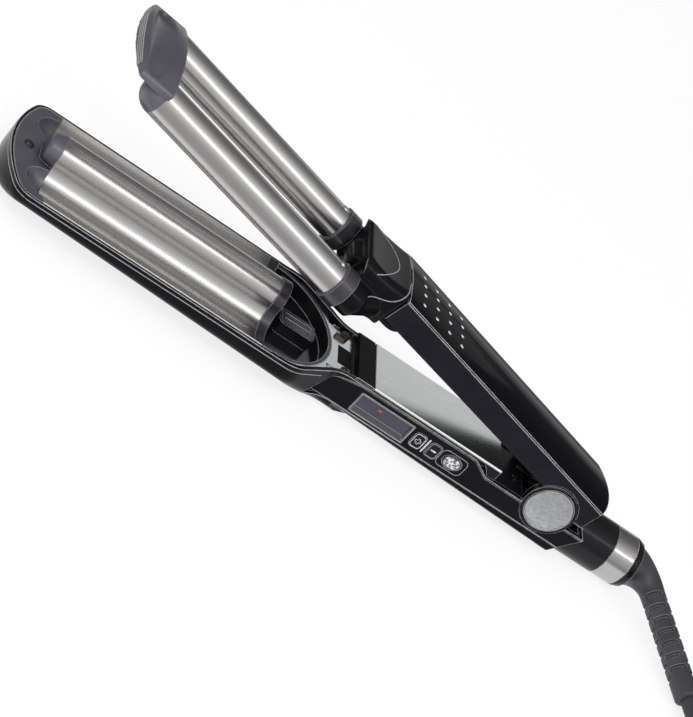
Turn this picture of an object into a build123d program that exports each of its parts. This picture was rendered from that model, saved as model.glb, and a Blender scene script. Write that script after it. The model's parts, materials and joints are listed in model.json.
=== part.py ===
from build123d import *
from math import atan2, cos, degrees, pi, radians, sin, sqrt, tan
import os

# Hair waver. Two side-by-side heated barrels on the upper arm close into the
# two channels of a heated tray on the lower arm. A torsion spring opens the
# arms, and the cord leaves the tail through a swivel.
#
# The arms are drawn with the jaws closed: the hinge axis is Y through the
# origin, X runs to the cord, Z is up and the rims lie level. `seat` then stands
# the tool on its sole, and `swing` opens the upper arm as well. The boot and
# the cord are drawn where they lie, in the standing frame.

# ---------------------------------------------------------------- stance
hinge_height = 23.0        # hinge axis above the sole
sole_tilt = 1.5            # the rims rise this many degrees towards the cord
open_angle = 13.2          # between the arms when the spring holds them open
close_stop = 0.3           # the heel stops the arm this many degrees short of level
fit = 0.15                 # gap between pieces that seat in each other
slip = 0.05                # radial gap of a pin or a plug in its bore
swing_gap = 0.5            # between the arms where they pass each other

# ---------------------------------------------------------------- barrels and tray
barrel_r = 8.0
barrel_wall = 1.2
barrel_pitch = 43.2
barrel_height = 2.2        # barrel axis above the hinge axis, jaws closed
barrel_short = 4.9         # the barrels end behind the tray's front edge
barrel_rear = -147.0
hair_gap = 1.1             # under the barrels, jaws closed
tray_front = -258.4
tray_rear = -151.6
tray_half = 33.9
tray_rim = -0.45
tray_sheet = 1.6
ridge_r = 8.2
ridge_proud = 1.2          # ridge crest above the barrel crests
film = 0.6                 # heating film under the tray
film_half = 25.0
carrier_ribs = 3
carrier_inset = 12.0       # end ribs inside the tray's ends
rib_thick = 2.4

# ---------------------------------------------------------------- lower shell
shell_wall = 2.2
bowl_floor = 2.4
rim_width = 1.6            # shell rim outside the tray
tip_reach = 19.6           # shell tip ahead of the tray
tip_sweep_r = 72.0
tip_corner_r = 9.0
bowl_belly_r = 62.0
bowl_edge_r = 5.0
bowl_rear = -134.0         # the bowl starts to taper into the grip
taper_rear = -112.0
taper_r = 14.0
taper_land = 6.0           # the taper runs on along the grip before it turns under the belly
bowl_land = 6.0            # half of the flat land under the bowl
grip_half = 18.0
grip_wall = 2.6
grip_front = -119.0
grip_rim = 0.9
rim_rise_front = -143.0    # the rim climbs from the tray to the grip
rim_rise_rear = -118.0
grip_belly_r = 30.0
grip_land = 4.2
step_front = -40.0         # the rim steps down towards the hinge
step_rear = -31.5
step_rim = -3.8
step_r = 4.0

# ---------------------------------------------------------------- tray ends and neck recess
ring_length = 4.6          # dark ring behind the tray
ring_lip = 0.5
bulkhead = 2.0
well_floor = -10.5         # underside of the cap's wells
well_r = 10.0
well_y = 20.0
well_z = 1.5
nose_length = 6.0          # the ridge runs on over the cap
nose_r = 6.6
neck_floor = -8.0
neck_sheet = 1.6
neck_reach = 30.0          # recess behind the ring
neck_half = 33.0
neck_block_front = -143.0
neck_block_rear = -125.0
neck_block_half = 5.5
neck_block_top = -1.5
neck_groove = 1.2

# ---------------------------------------------------------------- deck
latch_top = -1.2
latch_sheet = 1.2
pad_front = -113.3         # rubber pad that the heel lands on
pad_rear = -106.5
pad_low_y = -9.6
pad_high_y = 3.5
pad_depth = 3.6
pad_sunk = 0.5
bar_front = -105.3
bar_rear = -95.9
bar_top = 2.1
bar_half = 17.0
deck_top = 2.3
deck_sheet = 0.8
deck_half = 16.9
deck_rear = -27.5
deck_depth = 2.9
deck_wall = 1.6
well_deck_z = -4.6         # lower deck in front of the hinge
well_deck_rear = -10.6
screw_head_r = 2.1
screw_head = 1.1
screw_shank_r = 1.2
screw_length = 6.0
screw_slot = 0.6
clamp_screw = (-111.0, 11.0)
latch_screw = (-109.6, -13.0)
deck_screw = (-14.5, -4.0)
cap_screw_ahead = 11.6     # ahead of the tray
boss_r = 2.2

# ---------------------------------------------------------------- side panels and controls
panel_sheet = 1.2
panel_proud = 0.25
panel_bottom = -13.7
panel_top = 0.3
panel_nose = -2.2
panel_front_low = -122.0
panel_front_high = -115.0
panel_level = -101.0
panel_rear_low = 15.8
panel_rear_high = 22.4
screen_x = -85.0
screen_top = -2.9
screen_bottom = -11.3
screen_w = 26.0
lens_bottom = -9.3         # the bezel slopes from its lower edge in to the lens
lens_deep = 1.2
lens_sheet = 1.0
bezel_rim = 0.8
key_z = -6.8
key_proud = 0.35
key_travel = 0.6
key_gap = 0.2
key_flange = 0.5
plus_x = -66.0
minus_x = -57.7
key_w = 5.2
key_h = 7.2
key_r = 1.4
power_x = -47.8
power_w = 9.0
power_h = 6.4
board_thick = 1.6
board_front = -100.0
board_rear = -39.0
board_top = -2.0
board_bottom = -13.4
board_face = 13.2          # face that carries the switches, from the middle plane
switch_w = 4.6
switch_t = 0.8

# ---------------------------------------------------------------- hinge
knuckle_r = 12.3
knuckle_thick = 3.4
knuckle_proud = 0.3
pin_r = 2.5
disc_r = 10.5
disc_thick = 1.7
disc_face = 19.0
bezel_width = 1.5
ear_r = 9.2
ear_thick = 3.2
spring_wire = 1.5
spring_play = 0.3          # between the spring and the pin
spring_turns = 4.5
spring_leg = 14.0

# ---------------------------------------------------------------- tail
tail_r = 12.2
tail_drop = 11.0           # tail axis below the hinge axis
tail_front = 12.0
tail_spigot_r = 9.4
tail_spigot_front = 9.0
tail_bore_r = 7.0
tail_ring_front = 40.7
tail_ring_rear = 51.6
tail_ring_wall = 1.3
tail_cap_rear = 55.6
tail_cap_r = 11.4
cage_front = 43.6          # cage that holds the swivel's flange
cage_rear = 48.4
flange_r = 9.6
flange_length = 4.0
boot_neck_r = 7.6
boot_stem_r = 5.0

# ---------------------------------------------------------------- upper arm
arm_half = 18.0
arm_wall = 2.0
arm_bottom = 4.84
arm_front = -119.0
arm_rear = 16.4
arm_tail_r = 42.0          # plan radius of the arm's rear end
arm_edge_front = 17.4      # side top edge above the hinge axis at the front
arm_edge_rear = 15.6
arm_edge_r = 1.5
arm_tail_low = 7.2         # rear wall stays above the tail barrel
floor_rear = 8.0
cover_side = 1.0
crown_rise = 1.5
cover_sheet = 1.8
dimple_front = 8.8         # first row behind the cover's front edge
dimple_step = 8.4
dimple_gap = 7.0
dimple_count = 4
dimple_r = 1.2             # of the cone that cuts a dimple
dimple_deep = 0.4

# ---------------------------------------------------------------- neck of the upper arm
collar_r = 9.0             # dark ring on each barrel's rear end
collar_front = -149.0
collar_rear = -142.0
collar_bore_r = 5.0
stub_r = 7.6
stub_rear = -134.0
fairing_lap = 0.8          # the fairing starts inside the stub's end
fairing_rear = -120.5
fairing_r = 5.0
fairing_y = 11.5
fairing_z = 5.5
neck_front = -141.6
neck_shoulder = -144.8
neck_half_front = 19.5
neck_low = -3.6
neck_step = -131.0         # the underside climbs from here to the heel
neck_heel_front = -124.0
neck_heel_low = -0.3
neck_edge_r = 4.0
bridge_front = -145.0
bridge_half = 7.5
bridge_low = 3.0
bridge_high = 12.0
heel_x = -111.3
heel_r = 6.5
heel_low = -0.9
heel_lap = 0.6             # the heel is wider than its pad by this, each side
heater_r = 6.3

# ---------------------------------------------------------------- tip of the upper arm
dome_length = 9.0
plug_depth = 4.0
rest_lap = 0.9             # the rest reaches back over the barrels
rest_side = 15.9           # length of the rest's straight sides
rest_half = 29.2
rest_sweep_r = 81.0
rest_crown = 13.2          # crown above the hinge axis at the rear edge
rest_arch_r = 120.0
rest_slope = 7.0           # the top falls towards the tip
rest_low = 4.8
rest_shoulder_r = 2.5
scoop_back = 11.4          # middle of the scoop ahead of the rest's rear edge
scoop_deep = 1.7
scoop_length = 12.4
scoop_half = 27.0
rest_rib_gap = 0.5         # first grip rib in front of the scoop
rest_rib_step = 0.9
rest_rib_width = 0.45
rest_rib_proud = 0.35
rest_rib_half = 24.0
rest_ribs = 3

# ---------------------------------------------------------------- boot and cord, in the standing frame
cord_r = 3.5
boot_profile = [(0.0, 10.0), (2.5, 9.6), (6.0, 8.3), (10.0, 7.0), (14.0, 6.1), (18.0, 5.65)]
boot_bend_r = 14.0
boot_corner_reach = 10.4   # from the tail cap to the corner of the boot's bend
boot_run = 64.0
boot_heading = (0.4067, -0.9135, -0.1100)
boot_slots = 7
boot_slot_pitch = 6.8
boot_slot_width = 2.4
boot_slot_deep = 1.3
lead_points = [(97.998, -70.603, 5.23), (103.3, -84.4, 4.75)]
coil_centre = (151.0, -74.0)
coil_mean_r = 38.5
coil_wide = 4              # turns side by side
coil_high = 3              # and on each other
coil_start_angle = 210.0
tail_points = [(120.0, -92.5, 17.8), (134.0, -103.0, 25.0), (146.0, -107.6, 28.6), (159.0, -109.0, 28.6)]
plug_heading = (0.9943, -0.1071, 0.0)
plug_length = 34.0
plug_w = 25.0
plug_t = 13.6
plug_edge_r = 3.0
plug_neck_r = 5.0
plug_neck_length = 9.0
prong_r = 2.0
prong_length = 19.0
prong_pitch = 18.6
tie_sheet = 0.8
tie_w = 9.0
tie_angle = 75.0

# ================================================================ values worked out
barrel_front = tray_front + barrel_short
ridge_top = barrel_height + barrel_r + ridge_proud
channel_bottom = barrel_height - barrel_r - hair_gap
ridge_axis = ridge_top - ridge_r
channel_r = ridge_axis - channel_bottom
channel_y = ridge_r + channel_r
skirt_run = tray_half - channel_y
skirt_rise = tray_rim - channel_bottom
skirt_r = (skirt_run**2 + skirt_rise**2) / (2 * skirt_rise)
skirt_angle = degrees(atan2(skirt_run, skirt_r - skirt_rise))
bowl_half = tray_half + rim_width
wall_run = bowl_half - shell_wall - channel_y
tray_edge_low = channel_bottom + skirt_r - sqrt((skirt_r + tray_sheet) ** 2 - wall_run**2)
tip_x = tray_front - tip_reach
cap_screw_x = tray_front - cap_screw_ahead
ring_rear = tray_rear + ring_length
taper_slope = (bowl_half - grip_half) / (taper_rear - bowl_rear)
knuckle_out = grip_half + knuckle_proud
knuckle_mid = knuckle_out - knuckle_thick / 2
ear_out = knuckle_out - knuckle_thick - swing_gap
ear_mid = ear_out - ear_thick / 2
panel_face = grip_half + panel_proud
panel_back = panel_face - panel_sheet
key_back = panel_back - fit
spring_r = pin_r + spring_play + spring_wire / 2
plug_r = barrel_r - barrel_wall - slip
deck_low = deck_top - deck_sheet - deck_depth
deep = 3 * hinge_height    # cutting depth past everything on the lower arm

seat = Location((0, 0, hinge_height * cos(radians(sole_tilt)))) * Location((0, 0, 0), (0, -sole_tilt, 0))
swing = seat * Location((0, 0, 0), (0, open_angle, 0))
tail_axis = Plane(origin=(0, 0, -tail_drop), x_dir=(0, 1, 0), z_dir=(1, 0, 0))


def finish(piece, label, place):
    """Puts a drawn piece in its place in the standing tool and writes it."""
    piece.part = piece.part.moved(place)
    piece.part.label = label
    export_step(piece.part, f"parts/{label}.step")


def hull_section(station):
    """Cross-section plane of the belly: its local Y is the height above the sole."""
    fall = radians(sole_tilt)
    along = Vector(cos(fall), 0, -sin(fall))
    return Plane(origin=Vector(0, 0, -hinge_height) + along * station, x_dir=(0, 1, 0), z_dir=along)


def wave_half(depth):
    """Half of the tray's wave, crest to rim, sunk by depth along its normal."""
    CenterArc((0, ridge_axis), ridge_r - depth, 0, 90)
    CenterArc((channel_y, ridge_axis), channel_r + depth, 180, 90)
    CenterArc((channel_y, channel_bottom + skirt_r), skirt_r + depth, 270, skirt_angle)


def wave_rim(depth):
    """Outer end of the wave sunk by depth."""
    reach = skirt_r + depth
    side = radians(skirt_angle)
    return (channel_y + reach * sin(side), channel_bottom + skirt_r - reach * cos(side))


def wave_sheet(proud, thick, front, rear):
    """Wave-shaped sheet between two stations, with its top raised by proud."""
    with BuildPart() as sheet:
        with BuildSketch(Plane.YZ.offset(front)):
            with BuildLine():
                wave_half(-proud)
                wave_half(thick - proud)
                Line(wave_rim(-proud), wave_rim(thick - proud))
                Line((0, ridge_top + proud), (0, ridge_top + proud - thick))
            make_face()
            mirror(about=Plane.YZ)
            Rectangle(2 * tray_half, 2 * deep, mode=Mode.INTERSECT)
        extrude(amount=rear - front)
    return sheet.part


def under_wave(depth, front, rear):
    """Everything under the wave sunk by depth, between two stations."""
    with BuildPart() as block:
        with BuildSketch(Plane.YZ.offset(front)):
            with BuildLine():
                wave_half(depth)
                Polyline(wave_rim(depth), (wave_rim(depth)[0], -deep), (0, -deep), (0, ridge_top - depth))
            make_face()
            mirror(about=Plane.YZ)
        extrude(amount=rear - front)
    return block.part


def bowl_outline(inset):
    """Plan of the bowl: swept tip, straight sides, taper that dives under the grip."""
    sweep = tip_sweep_r - sqrt(tip_sweep_r**2 - bowl_half**2)
    turn = taper_rear + taper_land
    with BuildLine() as outline:
        ThreePointArc((tip_x + sweep, bowl_half), (tip_x, 0), (tip_x + sweep, -bowl_half))
        for side in (1, -1):
            Polyline(
                (tip_x + sweep, side * bowl_half),
                (bowl_rear, side * bowl_half),
                (taper_rear, side * grip_half),
                (turn, side * grip_half),
                (turn + grip_half / taper_slope, 0),
            )
    make_face(outline.edges())
    fillet(vertices().group_by(Axis.X)[0], tip_corner_r)
    fillet(vertices().filter_by(lambda v: bowl_rear - 1 < v.X < taper_rear + 1), taper_r)
    if inset > 0:
        offset(amount=-inset, mode=Mode.REPLACE)


def belly_profile(radius, land, half, inset):
    """Section of a belly: flat land, round flanks, then straight up."""
    centre = sqrt(radius**2 - land**2)
    inner = radius - inset
    edge = half + 1 if inset == 0 else half
    low = centre - sqrt(inner**2 - land**2)
    high = centre - sqrt(inner**2 - edge**2)
    with BuildLine() as outline:
        Line((-land, low), (land, low))
        RadiusArc((land, low), (edge, high), -inner)
        RadiusArc((-land, low), (-edge, high), inner)
        Polyline((edge, high), (edge, deep), (-edge, deep), (-edge, high))
    make_face(outline.edges())


def bowl_body(top, inset=0.0, floor=0.0):
    """The bowl up to a level, inset from its outside by a side wall and a floor."""
    with BuildPart() as bowl:
        with BuildSketch(Plane.XY.offset(top)):
            bowl_outline(inset)
        extrude(amount=-(top + deep))
        with BuildSketch(hull_section(tip_x - deep)):
            belly_profile(bowl_belly_r, bowl_land, bowl_half, floor)
        extrude(amount=-tip_x + 2 * deep, mode=Mode.INTERSECT)
        if inset == 0:
            walls = bowl.faces().filter_by(lambda face: abs(face.normal_at().Z) < 0.01)
            lower = walls.edges().filter_by(lambda edge: abs((edge % 0.5).Z) < 0.9 and edge.center().Z < top - 1)
            fillet(lower.filter_by(lambda edge: edge.center().X < taper_rear + 1), bowl_edge_r)
    return bowl.part


def bowl_cavity(top, gap=0.0):
    """The hollow of the bowl up to a level, shrunk by a gap all round."""
    return bowl_body(top, shell_wall + gap, bowl_floor + gap)


def grip_body(top, inset=0.0):
    """The grip up to a level, inset by a wall from its outside."""
    lean = (panel_rear_high - panel_rear_low) / (step_rim - panel_bottom)
    rear = panel_rear_high + fit - inset
    with BuildPart() as grip:
        with BuildSketch(hull_section(grip_front)):
            belly_profile(grip_belly_r, grip_land, grip_half - inset, inset)
            Rectangle(2 * (grip_half - inset), 2 * deep, mode=Mode.INTERSECT)
        extrude(amount=deep - grip_front)
        with BuildSketch(Plane.XZ):
            with BuildLine():
                Polyline(
                    (grip_front, -deep),
                    (grip_front, top),
                    (rear + lean * (top - step_rim), top),
                    (rear + lean * (-deep - step_rim), -deep),
                    close=True,
                )
            make_face()
        extrude(amount=deep, both=True, mode=Mode.INTERSECT)
    return grip.part


def panel_outline(gap):
    """Side panel outline, its edges moved out by gap."""
    with BuildLine() as outline:
        Polyline(
            (panel_front_low, panel_bottom),
            (panel_front_high, panel_nose),
            (panel_level, panel_top),
            (step_front, panel_top),
            (step_rear, step_rim + panel_top - grip_rim),
            (panel_rear_high, step_rim + panel_top - grip_rim),
            (panel_rear_low, panel_bottom),
            close=True,
        )
    make_face(outline.edges())
    if gap:
        offset(amount=gap, kind=Kind.INTERSECTION, mode=Mode.REPLACE)
    Circle(knuckle_r + fit - gap, mode=Mode.SUBTRACT)


def disc(radius, start, stop):
    """Disc about the hinge axis between two distances from the middle plane."""
    with BuildPart() as body:
        with BuildSketch(Plane.XZ.offset(start)):
            Circle(radius)
        extrude(amount=stop - start)
    return body.part


def screw(spot, top):
    """Cross-slot screw standing at a plan position, with its head under a level."""
    with BuildPart() as body:
        with BuildSketch(Plane.XY.offset(top)):
            with Locations(spot):
                Circle(screw_head_r)
        extrude(amount=-screw_head)
        chamfer(body.edges().group_by(Axis.Z)[-1], screw_head / 2)
        with BuildSketch(Plane.XY.offset(top - screw_head)):
            with Locations(spot):
                Circle(screw_shank_r)
        extrude(amount=-screw_length)
        with BuildSketch(Plane.XY.offset(top)):
            with Locations(spot):
                Rectangle(2 * screw_head_r, screw_slot)
                Rectangle(screw_slot, 2 * screw_head_r)
        extrude(amount=-screw_head / 2, mode=Mode.SUBTRACT)
    return body.part


os.makedirs("parts", exist_ok=True)

# ================================================================ lower shell
rim_line = [
    (tip_x - 1, tray_rim),
    (rim_rise_front, tray_rim),
    (rim_rise_rear, grip_rim),
    (step_front, grip_rim),
    (step_rear, step_rim),
    (deep, step_rim),
]
rim_top = grip_rim + 1

# bosses under the latch plate and the lower deck, sunk into the wall
with BuildPart() as boss_room:
    add(bowl_body(rim_top, shell_wall / 2, bowl_floor / 2))
    add(grip_body(rim_top, grip_wall / 2))

with BuildPart() as bosses:
    for spot, top in (
        (clamp_screw, latch_top - latch_sheet - slip),
        (latch_screw, latch_top - latch_sheet - slip),
        (deck_screw, well_deck_z - deck_wall - slip),
    ):
        with BuildSketch(Plane.XY.offset(top)):
            with Locations(spot):
                Circle(boss_r)
                Circle(screw_shank_r + slip, mode=Mode.SUBTRACT)
        extrude(amount=-hinge_height)
    add(boss_room.part, mode=Mode.INTERSECT)

with BuildPart() as lower_shell:
    add(bowl_body(rim_top))
    add(grip_body(rim_top))
    add(bowl_cavity(rim_top + 1), mode=Mode.SUBTRACT)
    add(grip_body(rim_top + 1, grip_wall), mode=Mode.SUBTRACT)
    with BuildSketch(Plane.XZ):
        with BuildLine():
            Polyline(*rim_line, (deep, deep), (tip_x - 1, deep), close=True)
        make_face()
        fillet(vertices().filter_by(lambda v: step_front - 1 < v.X < step_rear + 1), step_r)
    extrude(amount=deep, both=True, mode=Mode.SUBTRACT)
    # rebate that the tray and its ends sit in
    with BuildSketch(Plane.XY.offset(tray_edge_low - fit)):
        bowl_outline(rim_width - fit)
        with Locations((ring_rear + fit, 0)):
            Rectangle(deep, 2 * deep, align=(Align.MIN, Align.CENTER), mode=Mode.SUBTRACT)
    extrude(amount=deep, mode=Mode.SUBTRACT)
    # pockets for the side panels
    for side in (1, -1):
        with BuildSketch(Plane.XZ.offset(side * panel_back - (0 if side > 0 else deep))):
            panel_outline(fit)
        extrude(amount=deep, mode=Mode.SUBTRACT)
    # window behind the display and the keys
    with BuildSketch(Plane.XZ.offset(grip_half - 2 * grip_wall)):
        with Locations(((board_front + board_rear) / 2, key_z)):
            Rectangle(board_rear - board_front - 2 * bezel_rim, key_h + 2 * key_flange + 4 * key_gap)
    extrude(amount=2 * grip_wall, mode=Mode.SUBTRACT)
    # knuckles
    add(disc(knuckle_r, knuckle_out - knuckle_thick, knuckle_out))
    add(disc(knuckle_r, -knuckle_out, knuckle_thick - knuckle_out))
    add(disc(disc_r + slip, disc_face - disc_thick - slip, deep), mode=Mode.SUBTRACT)
    add(disc(disc_r + slip, -deep, disc_thick + slip - disc_face), mode=Mode.SUBTRACT)
    add(disc(pin_r + slip, -deep, deep), mode=Mode.SUBTRACT)
    # opening for the tail barrel's spigot
    with BuildSketch(tail_axis):
        Circle(tail_spigot_r + slip)
    extrude(amount=deep, mode=Mode.SUBTRACT)
    add(bosses.part)
finish(lower_shell, "lower_shell", seat)

# ================================================================ heated tray
with BuildPart() as wave_tray:
    add(wave_sheet(0, tray_sheet, tray_front, tray_rear))
finish(wave_tray, "wave_tray", seat)

with BuildPart() as tray_heater:
    add(wave_sheet(-tray_sheet - slip, film, tray_front + film, tray_rear - film))
    with BuildSketch(Plane.XY):
        with Locations(((tray_front + tray_rear) / 2, 0)):
            Rectangle(tray_rear - tray_front, 2 * film_half)
    extrude(amount=deep, both=True, mode=Mode.INTERSECT)
finish(tray_heater, "tray_heater", seat)

# ribs and a keel that hold the tray up from the belly
with BuildPart() as tray_carrier:
    first = tray_front + carrier_inset
    span = tray_rear - carrier_inset - first
    with BuildSketch(Plane.XY.offset(-deep)):
        for index in range(carrier_ribs):
            with Locations((first + span * index / (carrier_ribs - 1), 0)):
                Rectangle(rib_thick, 2 * (tray_half - rim_width - shell_wall))
        with Locations((first + span / 2, 0)):
            Rectangle(span, rib_thick)
    extrude(amount=2 * deep)
    add(under_wave(tray_sheet + film + 2 * slip, tray_front, tray_rear), mode=Mode.INTERSECT)
    add(bowl_cavity(deep, slip), mode=Mode.INTERSECT)
finish(tray_carrier, "tray_carrier", seat)

# ring behind the tray, closed by a bulkhead down into the shell
with BuildPart() as tray_rear_ring:
    add(under_wave(-ring_lip, ring_rear - bulkhead, ring_rear))
    with BuildSketch(Plane.YZ.offset(tray_rear)):
        with Locations((0, neck_floor - neck_sheet)):
            Rectangle(2 * tray_half, deep, align=(Align.CENTER, Align.MIN))
    extrude(amount=ring_length, mode=Mode.INTERSECT)
    add(bowl_cavity(deep, fit), mode=Mode.INTERSECT)
    add(wave_sheet(ring_lip, tray_sheet + ring_lip, tray_rear + slip, ring_rear))
finish(tray_rear_ring, "tray_rear_ring", seat)

# moulded cap at the tip: two wells for the barrel ends and the end of the ridge
with BuildPart() as tray_end_cap:
    add(bowl_cavity(tray_rim, fit))
    with BuildSketch(Plane.XY.offset(well_floor)):
        bowl_outline(shell_wall + fit)
    extrude(amount=-deep, mode=Mode.SUBTRACT)
    with BuildSketch(Plane.XY.offset(tray_rim)):
        bowl_outline(rim_width)
    extrude(amount=tray_edge_low - tray_rim)
    with BuildSketch(Plane.XY.offset(tray_rim)):
        with Locations((tray_front - slip, 0)):
            Rectangle(-tip_x, deep, align=(Align.MIN, Align.CENTER))
    extrude(amount=-deep, mode=Mode.SUBTRACT)
    with BuildSketch(Plane.YZ.offset(tray_front - slip)):
        with Locations((0, ridge_axis)):
            Circle(ridge_r)
    with BuildSketch(Plane.YZ.offset(tray_front - slip - nose_length)):
        with Locations((0, ridge_axis)):
            Circle(nose_r)
    loft()
    front_rim = edges().filter_by(GeomType.CIRCLE).filter_by(
        lambda edge: edge.center().X < tray_front - nose_length + 1 and edge.center().Z > 0
    )
    fillet(front_rim, nose_r / 3)
    with BuildSketch(Plane.XY.offset(well_floor)):
        with Locations((tray_front, 0)):
            Rectangle(2 * tip_reach, 2 * ridge_r)
    extrude(amount=-deep, mode=Mode.SUBTRACT)
    with Locations((tray_front, well_y, well_z), (tray_front, -well_y, well_z)):
        Sphere(well_r, mode=Mode.SUBTRACT)
    with BuildSketch(Plane.XY.offset(tray_rim + slip)):
        with Locations((cap_screw_x, 0)):
            Circle(screw_shank_r + slip)
    extrude(amount=-screw_length - screw_head, mode=Mode.SUBTRACT)
finish(tray_end_cap, "tray_end_cap", seat)

with BuildPart() as cap_screw:
    add(screw((cap_screw_x, 0), tray_rim + screw_head))
finish(cap_screw, "cap_screw", seat)

# ================================================================ neck recess and deck
# open tub behind the ring; its rear wall is the arc that the latch plate follows
with BuildPart() as neck_liner:
    for level, inset, mode in (
        (neck_floor - neck_sheet, 0, Mode.ADD),
        (neck_floor, neck_sheet, Mode.SUBTRACT),
    ):
        with BuildSketch(Plane.XY.offset(level)):
            with Locations((ring_rear + fit, 0)):
                Ellipse(neck_reach - inset, neck_half - inset)
                Rectangle(deep, deep * 2, align=(Align.MAX, Align.CENTER), mode=Mode.SUBTRACT)
        extrude(amount=latch_top - level, mode=mode)
        if mode == Mode.ADD:
            add(bowl_cavity(rim_top, fit), mode=Mode.INTERSECT)
finish(neck_liner, "neck_liner", seat)

with BuildPart() as neck_block:
    with BuildSketch(Plane.XY.offset(neck_floor + slip)):
        with Locations(((neck_block_front + neck_block_rear) / 2, 0)):
            RectangleRounded(neck_block_rear - neck_block_front, 2 * neck_block_half, 2 * neck_groove)
    extrude(amount=neck_block_top - neck_floor - slip)
    chamfer(edges().group_by(Axis.Z)[-1], neck_groove / 2)
    with BuildSketch(Plane.XY.offset(neck_block_top)):
        with Locations(((neck_block_front + neck_block_rear) / 2, 0)):
            with GridLocations(0, 3 * neck_groove, 1, 2):
                SlotOverall(neck_block_rear - neck_block_front - 4 * neck_groove, neck_groove)
    extrude(amount=-neck_groove, mode=Mode.SUBTRACT)
finish(neck_block, "neck_block", seat)

pad_x = (pad_front + pad_rear) / 2
pad_y = (pad_low_y + pad_high_y) / 2

with BuildPart() as latch_plate:
    with BuildSketch(Plane.XY.offset(latch_top)):
        bowl_outline(shell_wall + fit)
        with Locations((ring_rear + fit, 0)):
            Ellipse(neck_reach + fit, neck_half + fit, mode=Mode.SUBTRACT)
        with Locations((bowl_rear, 0)):
            Rectangle(deep * 3, deep * 2, align=(Align.MAX, Align.CENTER), mode=Mode.SUBTRACT)
        with Locations((bar_front - slip, 0)):
            Rectangle(deep, deep, align=(Align.MIN, Align.CENTER), mode=Mode.SUBTRACT)
        with Locations((grip_front, grip_half - grip_wall - fit), (grip_front, grip_wall + fit - grip_half - deep)):
            Rectangle(deep, deep, align=(Align.MIN, Align.MIN), mode=Mode.SUBTRACT)
        with Locations((pad_x, pad_y)):
            Rectangle(pad_rear - pad_front + 2 * fit, pad_high_y - pad_low_y + 2 * fit, mode=Mode.SUBTRACT)
        with Locations(clamp_screw, latch_screw):
            Circle(screw_shank_r + slip, mode=Mode.SUBTRACT)
    extrude(amount=-latch_sheet)
finish(latch_plate, "latch_plate", seat)

with BuildPart() as heel_pad:
    with BuildSketch(Plane.XY.offset(latch_top - pad_sunk)):
        with Locations((pad_x, pad_y)):
            Rectangle(pad_rear - pad_front, pad_high_y - pad_low_y)
    extrude(amount=-pad_depth)
    with BuildSketch(Plane.XY.offset(latch_top - latch_sheet - slip)):
        with Locations((pad_x, pad_y)):
            Rectangle(pad_rear - pad_front + latch_sheet, pad_high_y - pad_low_y + latch_sheet)
    extrude(amount=-latch_sheet)
finish(heel_pad, "heel_pad", seat)

# clamp over the leads that run from the tray into the grip
with BuildPart() as lead_clamp:
    with BuildSketch(Plane.XY.offset(latch_top + slip)):
        with Locations(clamp_screw):
            Circle(boss_r)
            with Locations((-boss_r, -boss_r)):
                Rectangle(2 * boss_r, boss_r)
            Circle(screw_shank_r + slip, mode=Mode.SUBTRACT)
    extrude(amount=latch_sheet)
finish(lead_clamp, "lead_clamp", seat)

with BuildPart() as latch_screws:
    add(screw(latch_screw, latch_top + slip + screw_head))
    add(screw(clamp_screw, latch_top + latch_sheet + 2 * slip + screw_head))
    add(screw(deck_screw, well_deck_z + slip + screw_head))
finish(latch_screws, "latch_screws", seat)

with BuildPart() as cross_bar:
    with BuildSketch(Plane.XY.offset(bar_top)):
        with Locations(((bar_front + bar_rear) / 2, 0)):
            Rectangle(bar_rear - bar_front - 2 * slip, 2 * bar_half)
    extrude(amount=grip_rim + slip - bar_top)
    fillet(edges().filter_by(Axis.Y).group_by(Axis.Z)[-1], deck_sheet)
    with BuildSketch(Plane.XY.offset(grip_rim + slip)):
        with Locations(((bar_front + bar_rear) / 2, 0)):
            Rectangle(bar_rear - bar_front - 2 * slip, 2 * (grip_half - grip_wall - fit))
    extrude(amount=deck_low - grip_rim - slip)
finish(cross_bar, "cross_bar", seat)

deck_front = bar_rear + slip
deck_inner = grip_half - grip_wall - fit
deck_base = deck_top - deck_sheet - slip

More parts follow.
